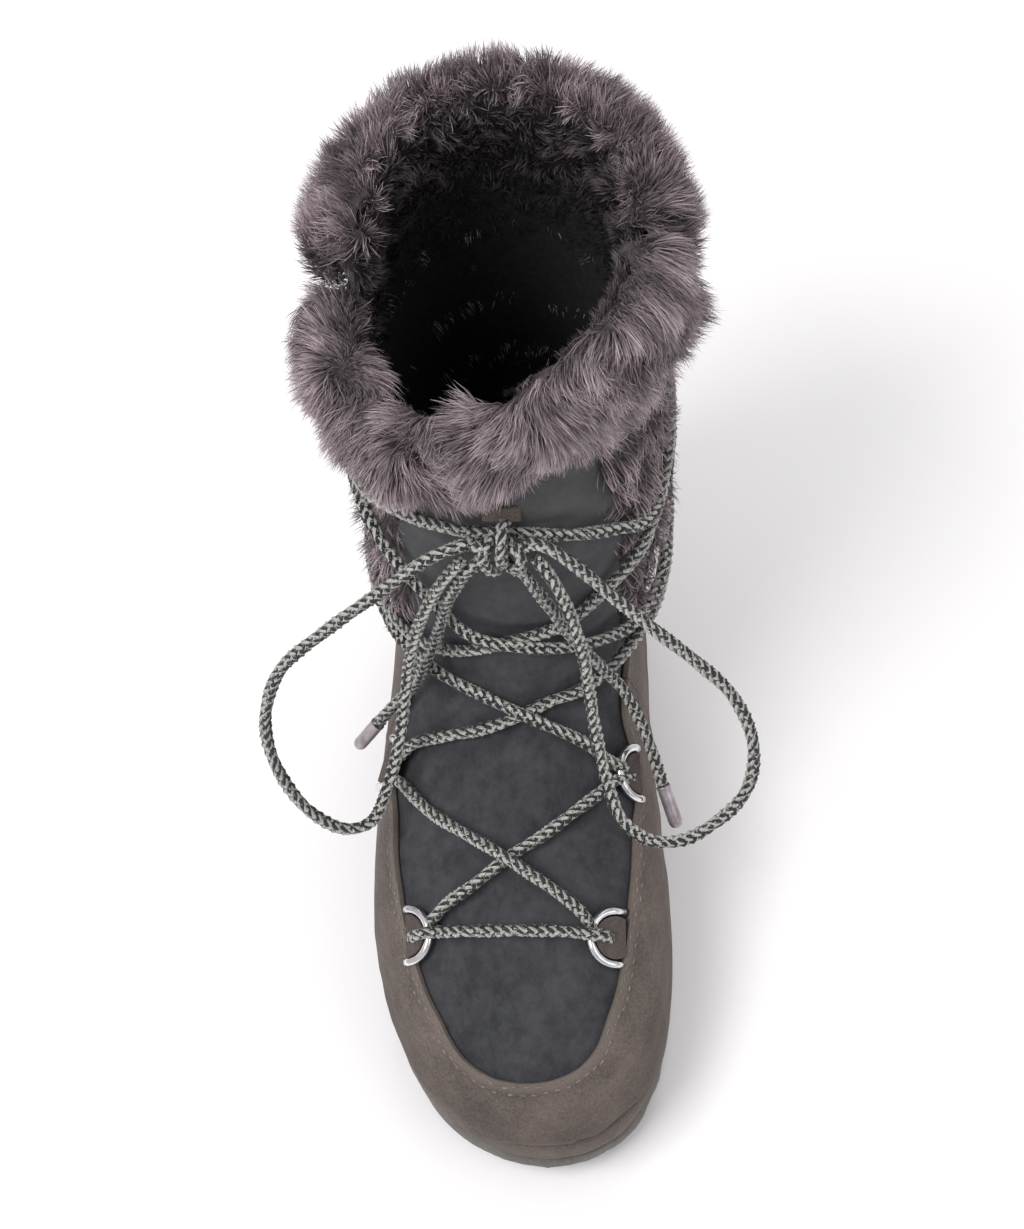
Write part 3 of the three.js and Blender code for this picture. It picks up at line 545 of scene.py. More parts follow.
# %% Wound lace
# on the foot x, y and height in millimetres; on the shaft angle, height and lift
FUR_LIFT = 7
HEEL_LIFT = 12
LACE_BAR = [
    (-32.6, -79.9, 58.6), (-31.2, -80.9, 63.2), (-27.6, -81.4, 66.4),
    (-22.5, -80.9, 66.3), (-13, -81.9, 69.2), (2.5, -82.4, 71.2), (15, -82.2, 70.7), (23, -82, 69),
    (27.9, -83, 69.8), (31.6, -82.2, 67.2), (33.2, -81.6, 62.6)]
CROSS_OVER = [
    (-42.3, -24.3, 68.4), (-40.3, -27.3, 71.2),
    (-37.5, -30, 72.8), (-27.5, -42.5, 77.7), (-15, -52.3, 81.2), (-3, -60.2, 82.5), (7.5, -66.2, 79.3),
    (17, -71.5, 75.4), (22.5, -75.2, 73.2), (26.3, -78.4, 68.6), (29.4, -80.2, 63.8)]
CROSS_UNDER = [
    (39.8, -27.6, 73), (37, -29.6, 76.4),
    (34, -31.5, 78.6), (30, -36, 79.8), (21, -44.6, 81.4), (11, -53, 81.1), (0.5, -59.4, 79),
    (-12, -68.3, 74.8), (-20.5, -73.3, 71.3), (-25.2, -76.4, 66.2), (-28.9, -78.2, 60.8)]
FOOT_FROM_LATERAL = [
    (-39.4, -20.6, 73.6),
    (-33.5, -18.5, 79.8), (-21.6, -19.3, 87), (-11.9, -19.5, 90.8), (-2.8, -17.8, 93.3), (5.4, -15.1, 95.6),
    (13, -11.8, 97.4), (21.2, -8.4, 97.2), (29, -3, 97.6)]
SHAFT_FROM_LATERAL = [
    (42, 99, FUR_LIFT), (22, 99, FUR_LIFT), (0, 100, FUR_LIFT), (-30, 104, 9), (-60, 107, HEEL_LIFT),
    (-90, 109, HEEL_LIFT), (-120, 109, HEEL_LIFT), (-150, 108, 9), (-180, 106, FUR_LIFT),
    (-205, 104, FUR_LIFT), (-225, 103.5, 5), (-240, 107.5, 4.8), (-256, 114, 4.8), (-270, 121, 3.6),
    (-286, 128, 3.4), (-304, 136), (-320, 146, 6.4), (-335, 157, FUR_LIFT), (-360, 162, FUR_LIFT),
    (-390, 167, FUR_LIFT), (-420, 171, FUR_LIFT), (-450, 174, FUR_LIFT), (-480, 176, FUR_LIFT),
    (-510, 177, FUR_LIFT), (-540, 178.5, FUR_LIFT), (-563, 179, 7.6), (-582, 178.5, 6.8), (-602, 177.5),
    (-621, 178), (-627, 178.4), (-632, 178)]
FOOT_FROM_MEDIAL = [
    (37.6, -26.6, 77.4),
    (31.5, -25.5, 82.8), (24, -22.5, 88.8), (5, -17.3, 97.2), (-10, -11, 100.3), (-25, -2, 100.5)]
SHAFT_FROM_MEDIAL = [
    (136, 99, FUR_LIFT), (158, 98, FUR_LIFT), (180, 98, FUR_LIFT), (210, 98.5, 9.5), (240, 99.5, HEEL_LIFT),
    (270, 100.5, HEEL_LIFT), (300, 102, HEEL_LIFT), (330, 104, 9.5), (360, 106, FUR_LIFT),
    (384, 106, FUR_LIFT), (403, 106.5, 5.8), (414, 109.5, 5), (430, 115.5, 5.4), (446, 121.5, 6.8),
    (460, 125.5, 6), (472, 132, 4), (484, 144, 5), (497, 156, FUR_LIFT), (516, 162, FUR_LIFT),
    (540, 163, FUR_LIFT), (570, 162, FUR_LIFT), (600, 161, FUR_LIFT), (630, 160, FUR_LIFT),
    (660, 158, FUR_LIFT), (690, 156, FUR_LIFT), (720, 154, FUR_LIFT), (743, 155.5, FUR_LIFT),
    (758, 160, 7), (770, 165.5, 4.4), (782, 170), (793, 174), (802, 177), (808, 178), (813, 178)]


def make_held_rope(name, node, *routes):
    """Rope that the boot holds all the way."""
    piece = add_piece(name, braid(name, routes), "lace_rope", node, rope_yarn)
    print(name, 2 * len(piece.data.polygons), "triangles")


wrap_routes = [
    smooth_route(FOOT_FROM_LATERAL + [shaft_point(*row) for row in SHAFT_FROM_LATERAL]),
    smooth_route(FOOT_FROM_MEDIAL + [shaft_point(*row) for row in SHAFT_FROM_MEDIAL])]
make_held_rope("toe_bar_rope", "lace_bar", smooth_route(LACE_BAR))
make_held_rope("crossed_rope", "lace_cross_low", smooth_route(CROSS_OVER), smooth_route(CROSS_UNDER))
make_held_rope("ankle_wrap_rope", "lace_wraps", *wrap_routes)

# %% [markdown]
# ## The knot
# A bow's knot is one turn of rope round the middle, with the strands fanning out under it. Four short
# ropes make it: the turn itself, the strand across behind it, and two strands that come out below it.

# %% Knot
KNOT_TURN = [
    (2.5, 2.6, 183.5), (2.2, -1.5, 185), (1.9, -5, 182.6), (1.7, -6.6, 178), (1.5, -5.6, 173.6),
    (1.3, -2.2, 171.2), (1.2, 2, 172.6)]
KNOT_ACROSS = [
    (-9, -2.6, 181), (-5.6, -4.4, 180.6), (-1.6, -3, 179), (2, -2, 178), (5.6, -3.6, 178.6), (10, -4.2, 181)]
KNOT_DROP_LATERAL = [
    (-1, -2, 181), (-3.4, -5, 179.5), (-3.8, -6.2, 175), (-2.6, -6, 170.6), (-0.6, -4.8, 168),
    (1, -2.6, 169.4)]
KNOT_DROP_MEDIAL = [
    (4, -2, 180.5), (6.6, -5.2, 179), (7.6, -6.4, 174.5), (6.4, -5.8, 170), (4, -4, 167.8), (2.4, -2, 169.6)]
make_held_rope("bow_knot_rope", "lace_knot", smooth_route(KNOT_TURN), smooth_route(KNOT_ACROSS),
               smooth_route(KNOT_DROP_LATERAL), smooth_route(KNOT_DROP_MEDIAL))

# %% [markdown]
# ## Soft shells from the frame's solids
# The frame's upper, overlays and sole have true sizes but flat facets. Rebuilding them by hand would lose
# those sizes. Instead a copy is remeshed into small even squares and relaxed, which rounds the facets and
# the cut edges as leather and rubber are rounded, and leaves an even net that can be pressed and creased.

# %% Smooth copies
SAME_PLACE = 2e-5         # loose corners nearer than this are one
UPPER_VOXEL = 2.5 * MM
UPPER_ROUNDS = 140
FAIR_IN, FAIR_OUT = 0.5, -0.49    # a little less out than in, so facets fade and the size stays


def merged_copy(node):
    """A copy of a node's mesh with its loose triangles joined up."""
    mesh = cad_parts[node].data.copy()
    mesh.materials.clear()
    shape = bmesh.new()
    shape.from_mesh(mesh)
    bmesh.ops.remove_doubles(shape, verts=shape.verts, dist=SAME_PLACE)
    shape.to_mesh(mesh)
    shape.free()
    return mesh


def relax(mesh, rounds, voxel=None):
    """The mesh after an optional voxel remesh and some rounds of smoothing."""
    worker = as_worker(mesh)
    if voxel:
        remesh = worker.modifiers.new("remesh", "REMESH")
        remesh.mode = "VOXEL"
        remesh.voxel_size = voxel
    smooth = worker.modifiers.new("smooth", "SMOOTH")
    smooth.factor = 0.5
    smooth.iterations = rounds
    return made_real(worker)


def point_array(mesh):
    points = np.empty(3 * len(mesh.vertices))
    mesh.vertices.foreach_get("co", points)
    return points.reshape(-1, 3)


def set_points(mesh, points):
    mesh.vertices.foreach_set("co", points.ravel())
    mesh.update()


def normal_array(mesh):
    normals = np.empty(3 * len(mesh.vertices))
    mesh.vertex_normals.foreach_get("vector", normals)
    return normals.reshape(-1, 3)


def tree_of(mesh):
    return BVHTree.FromPolygons([v.co for v in mesh.vertices], [tuple(p.vertices) for p in mesh.polygons])


def tree_of_places(places):
    """A tree that finds the nearest of some places."""
    tree = KDTree(len(places))
    for i, place in enumerate(places):
        tree.insert(place, i)
    tree.balance()
    return tree


def fair(mesh, rounds):
    """Smooths almost without shrinking: each round draws every point in to its neighbours and back out."""
    edges = np.empty(2 * len(mesh.edges), int)
    mesh.edges.foreach_get("vertices", edges)
    first, second = edges.reshape(-1, 2).T
    shares = np.bincount(edges, minlength=len(mesh.vertices))[:, None]
    points = point_array(mesh)
    for _ in range(rounds):
        for factor in (FAIR_IN, FAIR_OUT):
            around = np.stack([np.bincount(first, points[second, axis], len(points))
                               + np.bincount(second, points[first, axis], len(points))
                               for axis in range(3)], axis=1)
            points = points + factor * (around / shares - points)
    set_points(mesh, points)
    return mesh


upper_mesh = fair(relax(merged_copy("upper"), rounds=12, voxel=UPPER_VOXEL), UPPER_ROUNDS)
print("upper:", len(upper_mesh.polygons), "squares")

# %% [markdown]
# ## Creases and the pull of the lace
# Soft nubuck creases where the foot bends and where the lace pulls it in. Each crease is a short line with a
# width and a depth: the leather sinks along it and swells a little on each side. The wound lace does the
# same along its whole route, so the shaft is pinched under every turn.

# %% Creases
SHAFT_MIDDLE = np.array([0.0005, 0.062, 0])
SHAFT_FROM = 0.105            # above this height the wall is round the leg
CAVITY_REACH = 0.16
PLATFORM_BELOW = 12 * MM      # the inside sees the platform from further off than this
INSIDE_SHARE = -0.3           # how much of a crease shows on the inner side
SWELL = 0.55                  # how much leather swells beside a crease, for the crease's depth of 1
SWELL_AT = 2                  # and how many half widths away
GROOVE_DEEP, GROOVE_WIDE = 0.9, 4.5                 # the lace's groove, in millimetres
PUFF_HIGH, PUFF_AT, PUFF_WIDE = 1.7, 11, 5.5        # the swelling beside it
FLAT_BELOW, FLAT_FADE = 0.05, 0.02                  # low down the overlays keep the leather flat
# start, end, half width and depth in millimetres
CREASES = [
    ((-40, -10, 84), (-26, -15, 92), 3.5, 1.5), ((-43, 2, 93), (-28, -6, 108), 4.0, 1.7),
    ((-42, 8, 108), (-27, -2, 118), 3.5, 1.3), ((43, -10, 88), (28, -12, 99), 3.8, 1.4),
    ((44, 4, 100), (27, -4, 112), 4.0, 1.5), ((-18, -11, 108), (20, -9, 110), 5.5, 1.5),
    ((-30, -34, 80), (-8, -46, 87), 6.0, 0.8), ((30, -38, 82), (6, -50, 86), 6.0, 0.8),
    ((-20, -4, 128), (6, -4, 122), 5.0, 1.2), ((22, -1, 140), (-4, 1, 148), 5.5, 1.1),
    ((40, 10, 150), (20, 0, 138), 4.5, 1.2), ((12, 3, 172), (36, 18, 186), 5.0, 1.3),
    ((20, 4, 196), (43, 30, 190), 6.0, 1.2), ((-20, 2, 160), (-38, 22, 168), 4.5, 1.2)]


def distance_to_line(points, start, end):
    """How far points are from a straight line between two places in millimetres."""
    start, end = np.array(start) * MM, np.array(end) * MM
    span = end - start
    share = np.clip((points - start) @ span / (span @ span), 0, 1)
    return np.linalg.norm(points - start - share[:, None] * span, axis=1)


def crease(points):
    """How far leather at each point moves out, from the listed creases."""
    move = np.zeros(len(points))
    for start, end, width, depth in CREASES:
        away = distance_to_line(points, start, end) / (width * MM)
        move += depth * MM * (SWELL * np.exp(-(away - SWELL_AT) ** 2) - np.exp(-away ** 2))
    return move


def distance_to_lace(points):
    """How far points are from the wound rope's middle."""
    tree = tree_of_places(np.vstack(wrap_routes))
    return np.array([tree.find(place)[2] for place in points])


def cinch(points):
    """The lace presses a groove, and the leather swells a little way off."""
    away = distance_to_lace(points) / MM
    puff = PUFF_HIGH * np.exp(-((away - PUFF_AT) / PUFF_WIDE) ** 2)
    return MM * (puff - GROOVE_DEEP * np.exp(-(away / GROOVE_WIDE) ** 2))


def faces_cavity(places, normals, shell, ground):
    """True where a surface looks into the boot: in the shaft towards its middle, and in the foot
    where it sees the other wall, or the platform from well above."""
    seen = []
    for place, normal in zip(places, normals):
        if place[2] > SHAFT_FROM:
            seen.append((place[:2] - SHAFT_MIDDLE[:2]) @ normal[:2] < 0)
            continue
        start, way = Vector(place + normal * 0.5 * MM), Vector(normal)
        other_wall = shell.ray_cast(start, way, CAVITY_REACH)[0] is not None
        below = ground.ray_cast(start, way, CAVITY_REACH)[3]
        seen.append(other_wall or (below is not None and below > PLATFORM_BELOW))
    return np.array(seen)


points, normals = point_array(upper_mesh), normal_array(upper_mesh)
platform_tree = tree_of(merged_copy("platform"))
looks_in = faces_cavity(points, normals, tree_of(upper_mesh), platform_tree)
fade_low = np.clip((points[:, 2] - FLAT_BELOW) / FLAT_FADE, 0, 1)
shift = (crease(points) + cinch(points)) * fade_low * np.where(looks_in, INSIDE_SHARE, 1)
set_points(upper_mesh, points + normals * shift[:, None])
upper_mesh = relax(upper_mesh, rounds=2)
print("creases: moved by", round(shift.min() / MM, 2), "to", round(shift.max() / MM, 2), "mm")

# %% [markdown]
# ## Nubuck upper
# Nubuck is leather sanded to a very short nap: nearly matt, cooler and darker where the nap lies one way,
# lighter where it is brushed, with a faint grain. The lining inside is a short pile, given a near-black
# finish as painted shade for the inside of the boot. One shell carries both, and each square takes the finish
# of the side that it faces.

# %% Nubuck and lining
def make_nubuck():
    """Charcoal nap in broad and brushed patches, paler up the shaft: partly its own tone, partly painted
    light.
    """
    material, shader = new_material("charcoal_nubuck", roughness=0.92, sheen=0.08,
                                    sheen_tint=srgb(150, 152, 160))
    broad = noise(material, 48, 6, 0.66)
    brushed = noise(material, 190, 6, 0.72, stretch=(1, 0.75, 0.8))
    shade = ramp(material, broad,
                 [(0.36, srgb(38, 39, 44)), (0.5, srgb(51, 52, 57)), (0.66, srgb(68, 68, 72))])
    nap = ramp(material, brushed, [(0.38, srgb(36, 37, 42)), (0.62, srgb(72, 72, 75))])
    body = mix(material, 0.45, shade, nap)
    # paler up the shaft: partly the nap's own tone, partly painted light on the upper part of the boot
    upward_share = between(material, object_height(material), 0.085, 0.2)
    lighter = mix(material, 0.38, body, srgb(92, 92, 91))
    paint(material, shader, mix(material, upward_share, body, lighter))
    grain = bump(material, shader, noise(material, 1500, 4, 0.7), 0.5, 0.25 * MM)
    bump(material, shader, noise(material, 210, 5, 0.65), 0.35, 0.9 * MM, grain)
    return material


FUR_HIDES_FROM = 0.226
# painted shade: near-black lining for the shade inside the boot and under the fur, though it is one pelt with
# the collar
lining = make_mottled("painted_shade_pile", [(0.35, srgb(16, 15, 18)), (0.7, srgb(40, 37, 41))],
                      (420, 4), (900, 5, 0.8), 0.9, 1.2 * MM, roughness=0.95)
nubuck_shell = add_piece("nubuck_shell", upper_mesh, "charcoal_nubuck", "upper", make_nubuck(), lining)
points, normals = point_array(upper_mesh), normal_array(upper_mesh)
looks_in = faces_cavity(points, normals, tree_of(upper_mesh), platform_tree)
for polygon in upper_mesh.polygons:
    seen_inside = looks_in[polygon.vertices[0]] or polygon.center.z > FUR_HIDES_FROM
    polygon.material_index = int(seen_inside)
upper_tree = tree_of(upper_mesh)
print(nubuck_shell.name, 2 * len(upper_mesh.polygons), "triangles")

# %% [markdown]
# ## Suede overlays
# The mudguard round the foot and the counter round the heel are thick taupe suede, laid over the upper and
# sewn at the edge. A maker cuts them from the same last as the upper, so here each is cut from the smooth
# upper's own outside, exactly along its edge lines, and given a wall with soft edges. The upper is creased
# before they are cut, so each panel keeps its creases.

# %% Overlay shapes
# along the foot and height, in millimetres, of the sewn edge and of the edge at the platform
OVERLAY_TOP = [(-160, 45), (-125, 45.6), (-104, 52), (-75, 58.5), (-45, 63), (-18, 70), (5, 80), (24, 86),
               (44, 88), (90, 89), (160, 87)]
FEATHER = [(-150, 33), (-130, 30), (-105, 28.2), (-84, 28), (-40, 28), (-20, 29), (15, 32.5), (45, 36),
           (62, 37.5), (118, 38), (150, 38)]
OVERLAY_LEAN = 0.045      # the sewn edge is higher on the medial side
OVERLAY_SPLIT = 6         # where the mudguard meets the counter, along the foot
OVERLAY_GAP = 0.3
OVERLAY_THICK = 2.4 * MM
FLARE = 2.6               # how far out a panel swells where it meets the platform
FLARE_HEIGHT = 9
ON_EDGE = 0.5             # a rim point this near to the sewn line belongs to it
EDGE_SHARES = (0, 0.25, 0.5, 0.75)
SLIVER = 0.3 * MM         # corners nearer than this are merged after a cut
CUT_EDGE_WIDE = 0.8 * MM  # how much of a panel's wall its rounded edge takes


def smooth_table(rows, at):
    """A smooth value from rows of (place, value), level where the values turn."""
    places, values = np.array(rows, float).T
    step = np.diff(values) / np.diff(places)
    slopes = np.concatenate([[step[0]], (values[2:] - values[:-2]) / (places[2:] - places[:-2]), [step[-1]]])
    slopes[1:-1][step[1:] * step[:-1] <= 0] = 0
    i = int(np.clip(np.searchsorted(places, at) - 1, 0, len(places) - 2))
    width = places[i + 1] - places[i]
    t = min(max((at - places[i]) / width, 0), 1)
    return ((2 * t ** 3 - 3 * t ** 2 + 1) * values[i] + (t ** 3 - 2 * t ** 2 + t) * width * slopes[i]
            + (3 * t ** 2 - 2 * t ** 3) * values[i + 1] + (t ** 3 - t ** 2) * width * slopes[i + 1])


def over_top(place):
    """Above 0 over the overlays' sewn edge."""
    x, y, z = place / MM
    return z - smooth_table(OVERLAY_TOP, y) - OVERLAY_LEAN * x


def under_feather(place):
    """Above 0 under the line where the overlays meet the platform."""
    return smooth_table(FEATHER, place.y / MM) + OVERLAY_GAP - place.z / MM


def cut_along(shape, height):
    """Cuts a sheet exactly where height passes 0, and drops what is above."""
    value = {vertex: height(vertex.co) for vertex in shape.verts}
    made = []
    for edge in shape.edges[:]:
        first, second = edge.verts
        if value[first] * value[second] < 0:
            made.append(bmesh.utils.edge_split(edge, first, value[first] / (value[first] - value[second]))[1])
    bmesh.ops.connect_verts(shape, verts=made)
    dropped = [face for face in shape.faces if height(face.calc_center_median()) > 0]
    bmesh.ops.delete(shape, geom=dropped, context="FACES")


def make_panel(name, fineness, *cuts):
    """A sheet cut from the smooth upper's outside, flared where it meets the platform, and given a wall.
    Gives back its mesh and places along its sewn edge."""
    shape = bmesh.new()
    shape.from_mesh(upper_mesh)
    shape.verts.ensure_lookup_table()
    inner = [face for face in shape.faces if looks_in[[v.index for v in face.verts]].any()]
    bmesh.ops.delete(shape, geom=inner, context="FACES")
    for cut in cuts:
        cut_along(shape, cut)
    bmesh.ops.remove_doubles(shape, verts=shape.verts, dist=SLIVER)
    shape.normal_update()
    for vertex in shape.verts:
        low = min(max(1 + under_feather(vertex.co) / FLARE_HEIGHT, 0), 1)
        level = Vector((vertex.normal.x, vertex.normal.y, 0))
        vertex.co += vertex.normal * OVERLAY_GAP * MM + level * FLARE * MM * low * low * (3 - 2 * low)
    edge_places = []
    for edge in shape.edges:
        if not edge.is_boundary:
            continue
        off_top = max(abs(over_top(v.co - v.normal * OVERLAY_GAP * MM)) for v in edge.verts)
        if off_top < ON_EDGE:
            edge_places += [edge.verts[0].co.lerp(edge.verts[1].co, share) for share in EDGE_SHARES]
    worker = as_worker(close_shape(shape, name))
    worker.modifiers.new("rounder", "SUBSURF").levels = fineness
    wall = worker.modifiers.new("wall", "SOLIDIFY")
    wall.thickness = OVERLAY_THICK
    wall.offset = 1
    soft_edge = worker.modifiers.new("soft edge", "BEVEL")
    soft_edge.width = CUT_EDGE_WIDE
    soft_edge.segments = 3
    soft_edge.angle_limit = math.radians(50)
    return made_real(worker), np.array(edge_places)


def make_suede(name, base, light, dark, seam=False):
    """Suede: a long nap that shows every stroke of the hand as a lighter or darker patch. With a seam it
    is paler beside the sewn edge, with a painted shadow line along the cut edge and painted shade low down."""
    material, shader = new_material(name, roughness=0.95, sheen=0.15, sheen_tint=srgb(176, 164, 156))
    cloud = noise(material, 42, 5, 0.65)
    stroke = noise(material, 170, 5, 0.7, stretch=(0.6, 0.6, 1.5))
    speck = noise(material, 1300, 3, 0.7)
    body = ramp(material, cloud, [(0.36, dark), (0.5, base), (0.66, light)])
    body = mix(material, 0.4, body, ramp(material, stroke, [(0.35, dark), (0.65, light)]))
    body = mix(material, 0.42, body, ramp(material, speck, [(0.36, dark), (0.64, light)]))
    if seam:
        edge = add_node(material, "ShaderNodeAttribute", attribute_name="to_edge").outputs["Fac"]
        border = between(material, edge, 4.6 * MM, 3.0 * MM)
        body = mix(material, weaker(material, border, 0.4), body, srgb(122, 111, 104))
        # painted shadow: a thin dark line along the cut edge, where the panel meets the nubuck
        body = mix(material, between(material, edge, 0.9 * MM, 0.2 * MM), body, srgb(38, 34, 33))
        # painted shade: darker towards the platform, where the suede folds into it
        low = between(material, object_height(material), 0.05, 0.034)
        body = mix(material, weaker(material, low, 0.35), body, srgb(66, 59, 56))
    paint(material, shader, body)
    fine = bump(material, shader, speck, 0.8, 0.5 * MM)
    bump(material, shader, stroke, 0.3, 0.7 * MM, fine)
    return material


suede = make_suede("taupe_suede", srgb(88, 79, 75), srgb(118, 106, 100), srgb(58, 52, 50), seam=True)


def make_overlay(name, node, fineness, *cuts):
    """A suede panel that knows how far each of its points is from its sewn edge."""
    mesh, edge = make_panel(name, fineness, over_top, under_feather, *cuts)
    tree = tree_of_places(edge)
    to_edge = np.array([tree.find(place)[2] for place in point_array(mesh)])
    mesh.attributes.new("to_edge", "FLOAT", "POINT").data.foreach_set("value", to_edge)
    piece = add_piece(name, mesh, "taupe_suede", node, suede)
    print(name, len(mesh.polygons), "faces,", len(edge), "edge places")
    return piece, edge, to_edge


mudguard, mudguard_rim, mudguard_edge = make_overlay(
    "suede_mudguard", "mudguard", 1, lambda place: place.y / MM - OVERLAY_SPLIT)
counter, counter_rim, counter_edge = make_overlay(
    "suede_counter", "counter", 0, lambda place: OVERLAY_SPLIT + OVERLAY_GAP - place.y / MM)

# %% [markdown]
# ## Stitches along the suede's edge
# A row of short stitches runs just inside each panel's sewn edge. One stitch is a small ball drawn out long;
# a loop lays one every few millimetres along the edge, turned along it, and they are joined into one piece.

# %% Stitches
STITCH_LENGTH = 2.1 * MM
STITCH_RADIUS = 0.28 * MM
STITCH_PROUD = 0.1 * MM
STITCH_PITCH = 2.9 * MM
STITCH_INSET = 2.6 * MM
STITCH_BAND = 1.0 * MM    # panel points this near to the line may seat a stitch
NEIGHBOURS = 40           # earlier places that a new one is compared with


def spaced(places, gap):
    """Some of the places, none nearer to another than the gap."""
    kept = []
    for place in places[np.lexsort((places[:, 2], places[:, 1]))]:
        if not kept or min(np.linalg.norm(np.array(kept[-NEIGHBOURS:]) - place, axis=1)) > gap:
            kept.append(place)
    return np.array(kept)


def make_stitches(name, panel, to_edge, rim):
    """One joined piece of stitches that lie on the panel, along its edge."""
    points, normals = point_array(panel.data), normal_array(panel.data)
    away = np.array([upper_tree.find_nearest(place)[3] for place in points])
    outer = away > 2 * MM
    surface = tree_of_places(points[outer])
    ups = normals[outer]
    edge_tree = tree_of_places(rim)
    line = points[outer & (np.abs(to_edge - STITCH_INSET - OVERLAY_THICK * 0.4) < STITCH_BAND)]
    shape = bmesh.new()
    for place in spaced(line, STITCH_PITCH):
        edge_place = edge_tree.find(place)[0]
        seat, index, _ = surface.find(place)
        up = Vector(ups[index])
        into = (seat - edge_place).normalized()
        along = up.cross(into).normalized()
        made = bmesh.ops.create_uvsphere(shape, u_segments=6, v_segments=4, radius=STITCH_RADIUS)["verts"]
        stretch = Matrix.Diagonal((1, 1, STITCH_LENGTH / 2 / STITCH_RADIUS, 1))
        bmesh.ops.transform(shape, verts=made, matrix=Matrix.Translation(seat + up * STITCH_PROUD)
                            @ turned_to(along) @ stretch)
    mesh = close_shape(shape, name)
    mesh.shade_smooth()
    add_piece(name, mesh, "taupe_suede", None, thread)
    print(name, len(mesh.polygons), "faces")


thread = make_mottled("taupe_thread", [(0.3, srgb(96, 87, 83)), (0.7, srgb(146, 134, 127))], (900, 2),
                      roughness=0.7, sheen=0.2)
make_stitches("mudguard_stitches", mudguard, mudguard_edge, mudguard_rim)
make_stitches("counter_stitches", counter, counter_edge, counter_rim)

# %% [markdown]
# ## Sole and platform
# The outsole is moulded grey rubber: satin, with a fine pebble and a little pale dust in soft spots. The
# platform over it is wrapped in the same suede as the overlays. Both are relaxed copies of their solids, so
# the lugs and the toe's curve keep their places while the edges round off as a mould leaves them.

# %% Sole
STEEP_SHARE = 0.2         # how level a normal is before its point counts as wall
SOLE_REACH = 0.3


def make_rubber():
    """Satin grey rubber with pale dust and a fine pebble."""
    material, shader = new_material("grey_rubber", roughness=0.68)
    cloud = noise(material, 60, 5, 0.6)
    shade = ramp(material, cloud,
                 [(0.3, srgb(84, 81, 78)), (0.55, srgb(100, 97, 94)), (0.75, srgb(114, 110, 106))])
    dust = between(material, noise(material, 700, 4, 0.75), 0.5, 0.75)
    paint(material, shader, mix(material, dust, shade, srgb(120, 116, 111)))
    pebble = bump(material, shader, noise(material, 1600, 3), 0.4, 0.2 * MM)
    bump(material, shader, cloud, 0.15, 0.6 * MM, pebble)
    return material


def round_outline(mesh, rounds):
    """Smooths the outer wall sideways only, so the outline is a fair curve and the tread keeps its depth."""
    points, normals = point_array(mesh), normal_array(mesh)
    tree = tree_of(mesh)
    worker = as_worker(mesh)
    wall = worker.vertex_groups.new(name="wall")
    for i, (place, normal) in enumerate(zip(points, normals)):
        level = Vector((normal[0], normal[1], 0))
        if level.length > STEEP_SHARE:
            level.normalize()
            if tree.ray_cast(Vector(place) + level * MM, level, SOLE_REACH)[0] is None:
                wall.add([i], 1, "REPLACE")
    smooth = worker.modifiers.new("fair outline", "SMOOTH")
    smooth.use_z = False
    smooth.factor = 0.5
    smooth.iterations = rounds
    smooth.vertex_group = "wall"
    return made_real(worker)


felt = make_mottled("footbed_felt", [(0.35, srgb(28, 26, 29)), (0.7, srgb(58, 53, 55))],
                    (700, 5), (1200, 4), 0.6, 0.6 * MM, roughness=0.95, sheen=0.3)
platform_suede = make_suede("platform_suede", srgb(86, 77, 73), srgb(116, 104, 98), srgb(58, 52, 50))
# name, solid, size of the even squares, rounds of smoothing all over and of the outline, finish and its slot
SOLE_PIECES = [
    ("rubber_outsole", "outsole", 1.7 * MM, 5, 40, make_rubber(), "sole_rubber"),
    ("suede_platform", "platform", 2.0 * MM, 14, 30, platform_suede, "taupe_suede"),
    ("felt_footbed", "insole", 3.0 * MM, 6, 4, felt, "pile_lining")]
for name, node, voxel, rounds, outline_rounds, material, slot in SOLE_PIECES:
    mesh = round_outline(relax(merged_copy(node), rounds, voxel), outline_rounds)
    piece = add_piece(name, mesh, slot, node, material)
    print(name, 2 * len(piece.data.polygons), "triangles")

# %% [markdown]
# ## Half rings and their tabs
# Steel half rings carry the lace at the foot, each held by a small half-moon of leather. A ring is a round
# section spun part of a turn, with two short legs. A tab is a disc cut off at its sewn side, given its
# thickness, and rounded along its top edge as skived leather is.

# %% Half rings and tabs
# name, place, way of the bow, way it faces, and how far its legs and its tab run back under the suede
HALF_RINGS = [
    ("low_lateral", (-34, -79.3, 59.2), (0.84, -0.17, 0.5), (-0.5, -0.32, 0.8), 1.6, 0.4),
    ("low_medial", (34.5, -81.2, 63.2), (-0.87, -0.15, 0.4), (0.44, -0.27, 0.86), 4.8, 3.6),
    ("high_lateral", (-43.8, -20.1, 69), (0.44, -0.56, 0.71), (-0.86, 0, 0.5), 2, 1),
    ("high_medial", (41.7, -25.4, 72.2), (-0.66, -0.3, 0.68), (0.72, -0.15, 0.68), 2, 1)]
RING_BOW = 8.7 * MM
RING_WIRE = 1.4 * MM
RING_HALF_TURN = math.radians(88)
WIRE_SIDES, RING_STEPS, TAB_SIDES = 14, 30, 36
TAB_REACH = 7.0 * MM
TAB_THICK = 2.0 * MM
TAB_ROUND = 0.7 * MM
LEG_SINK = 0.3            # how far a ring's legs dip for each length they run back

polished = make_mottled("polished_steel", [(0.3, srgb(196, 196, 198)), (0.7, srgb(232, 232, 234))],
                        (300, 3), (1400, 3), 0.05, 0.05 * MM, roughness=0.2, metallic=1.0)
tab_leather = make_suede("tab_leather", srgb(80, 71, 68), srgb(100, 89, 85), srgb(54, 48, 46))


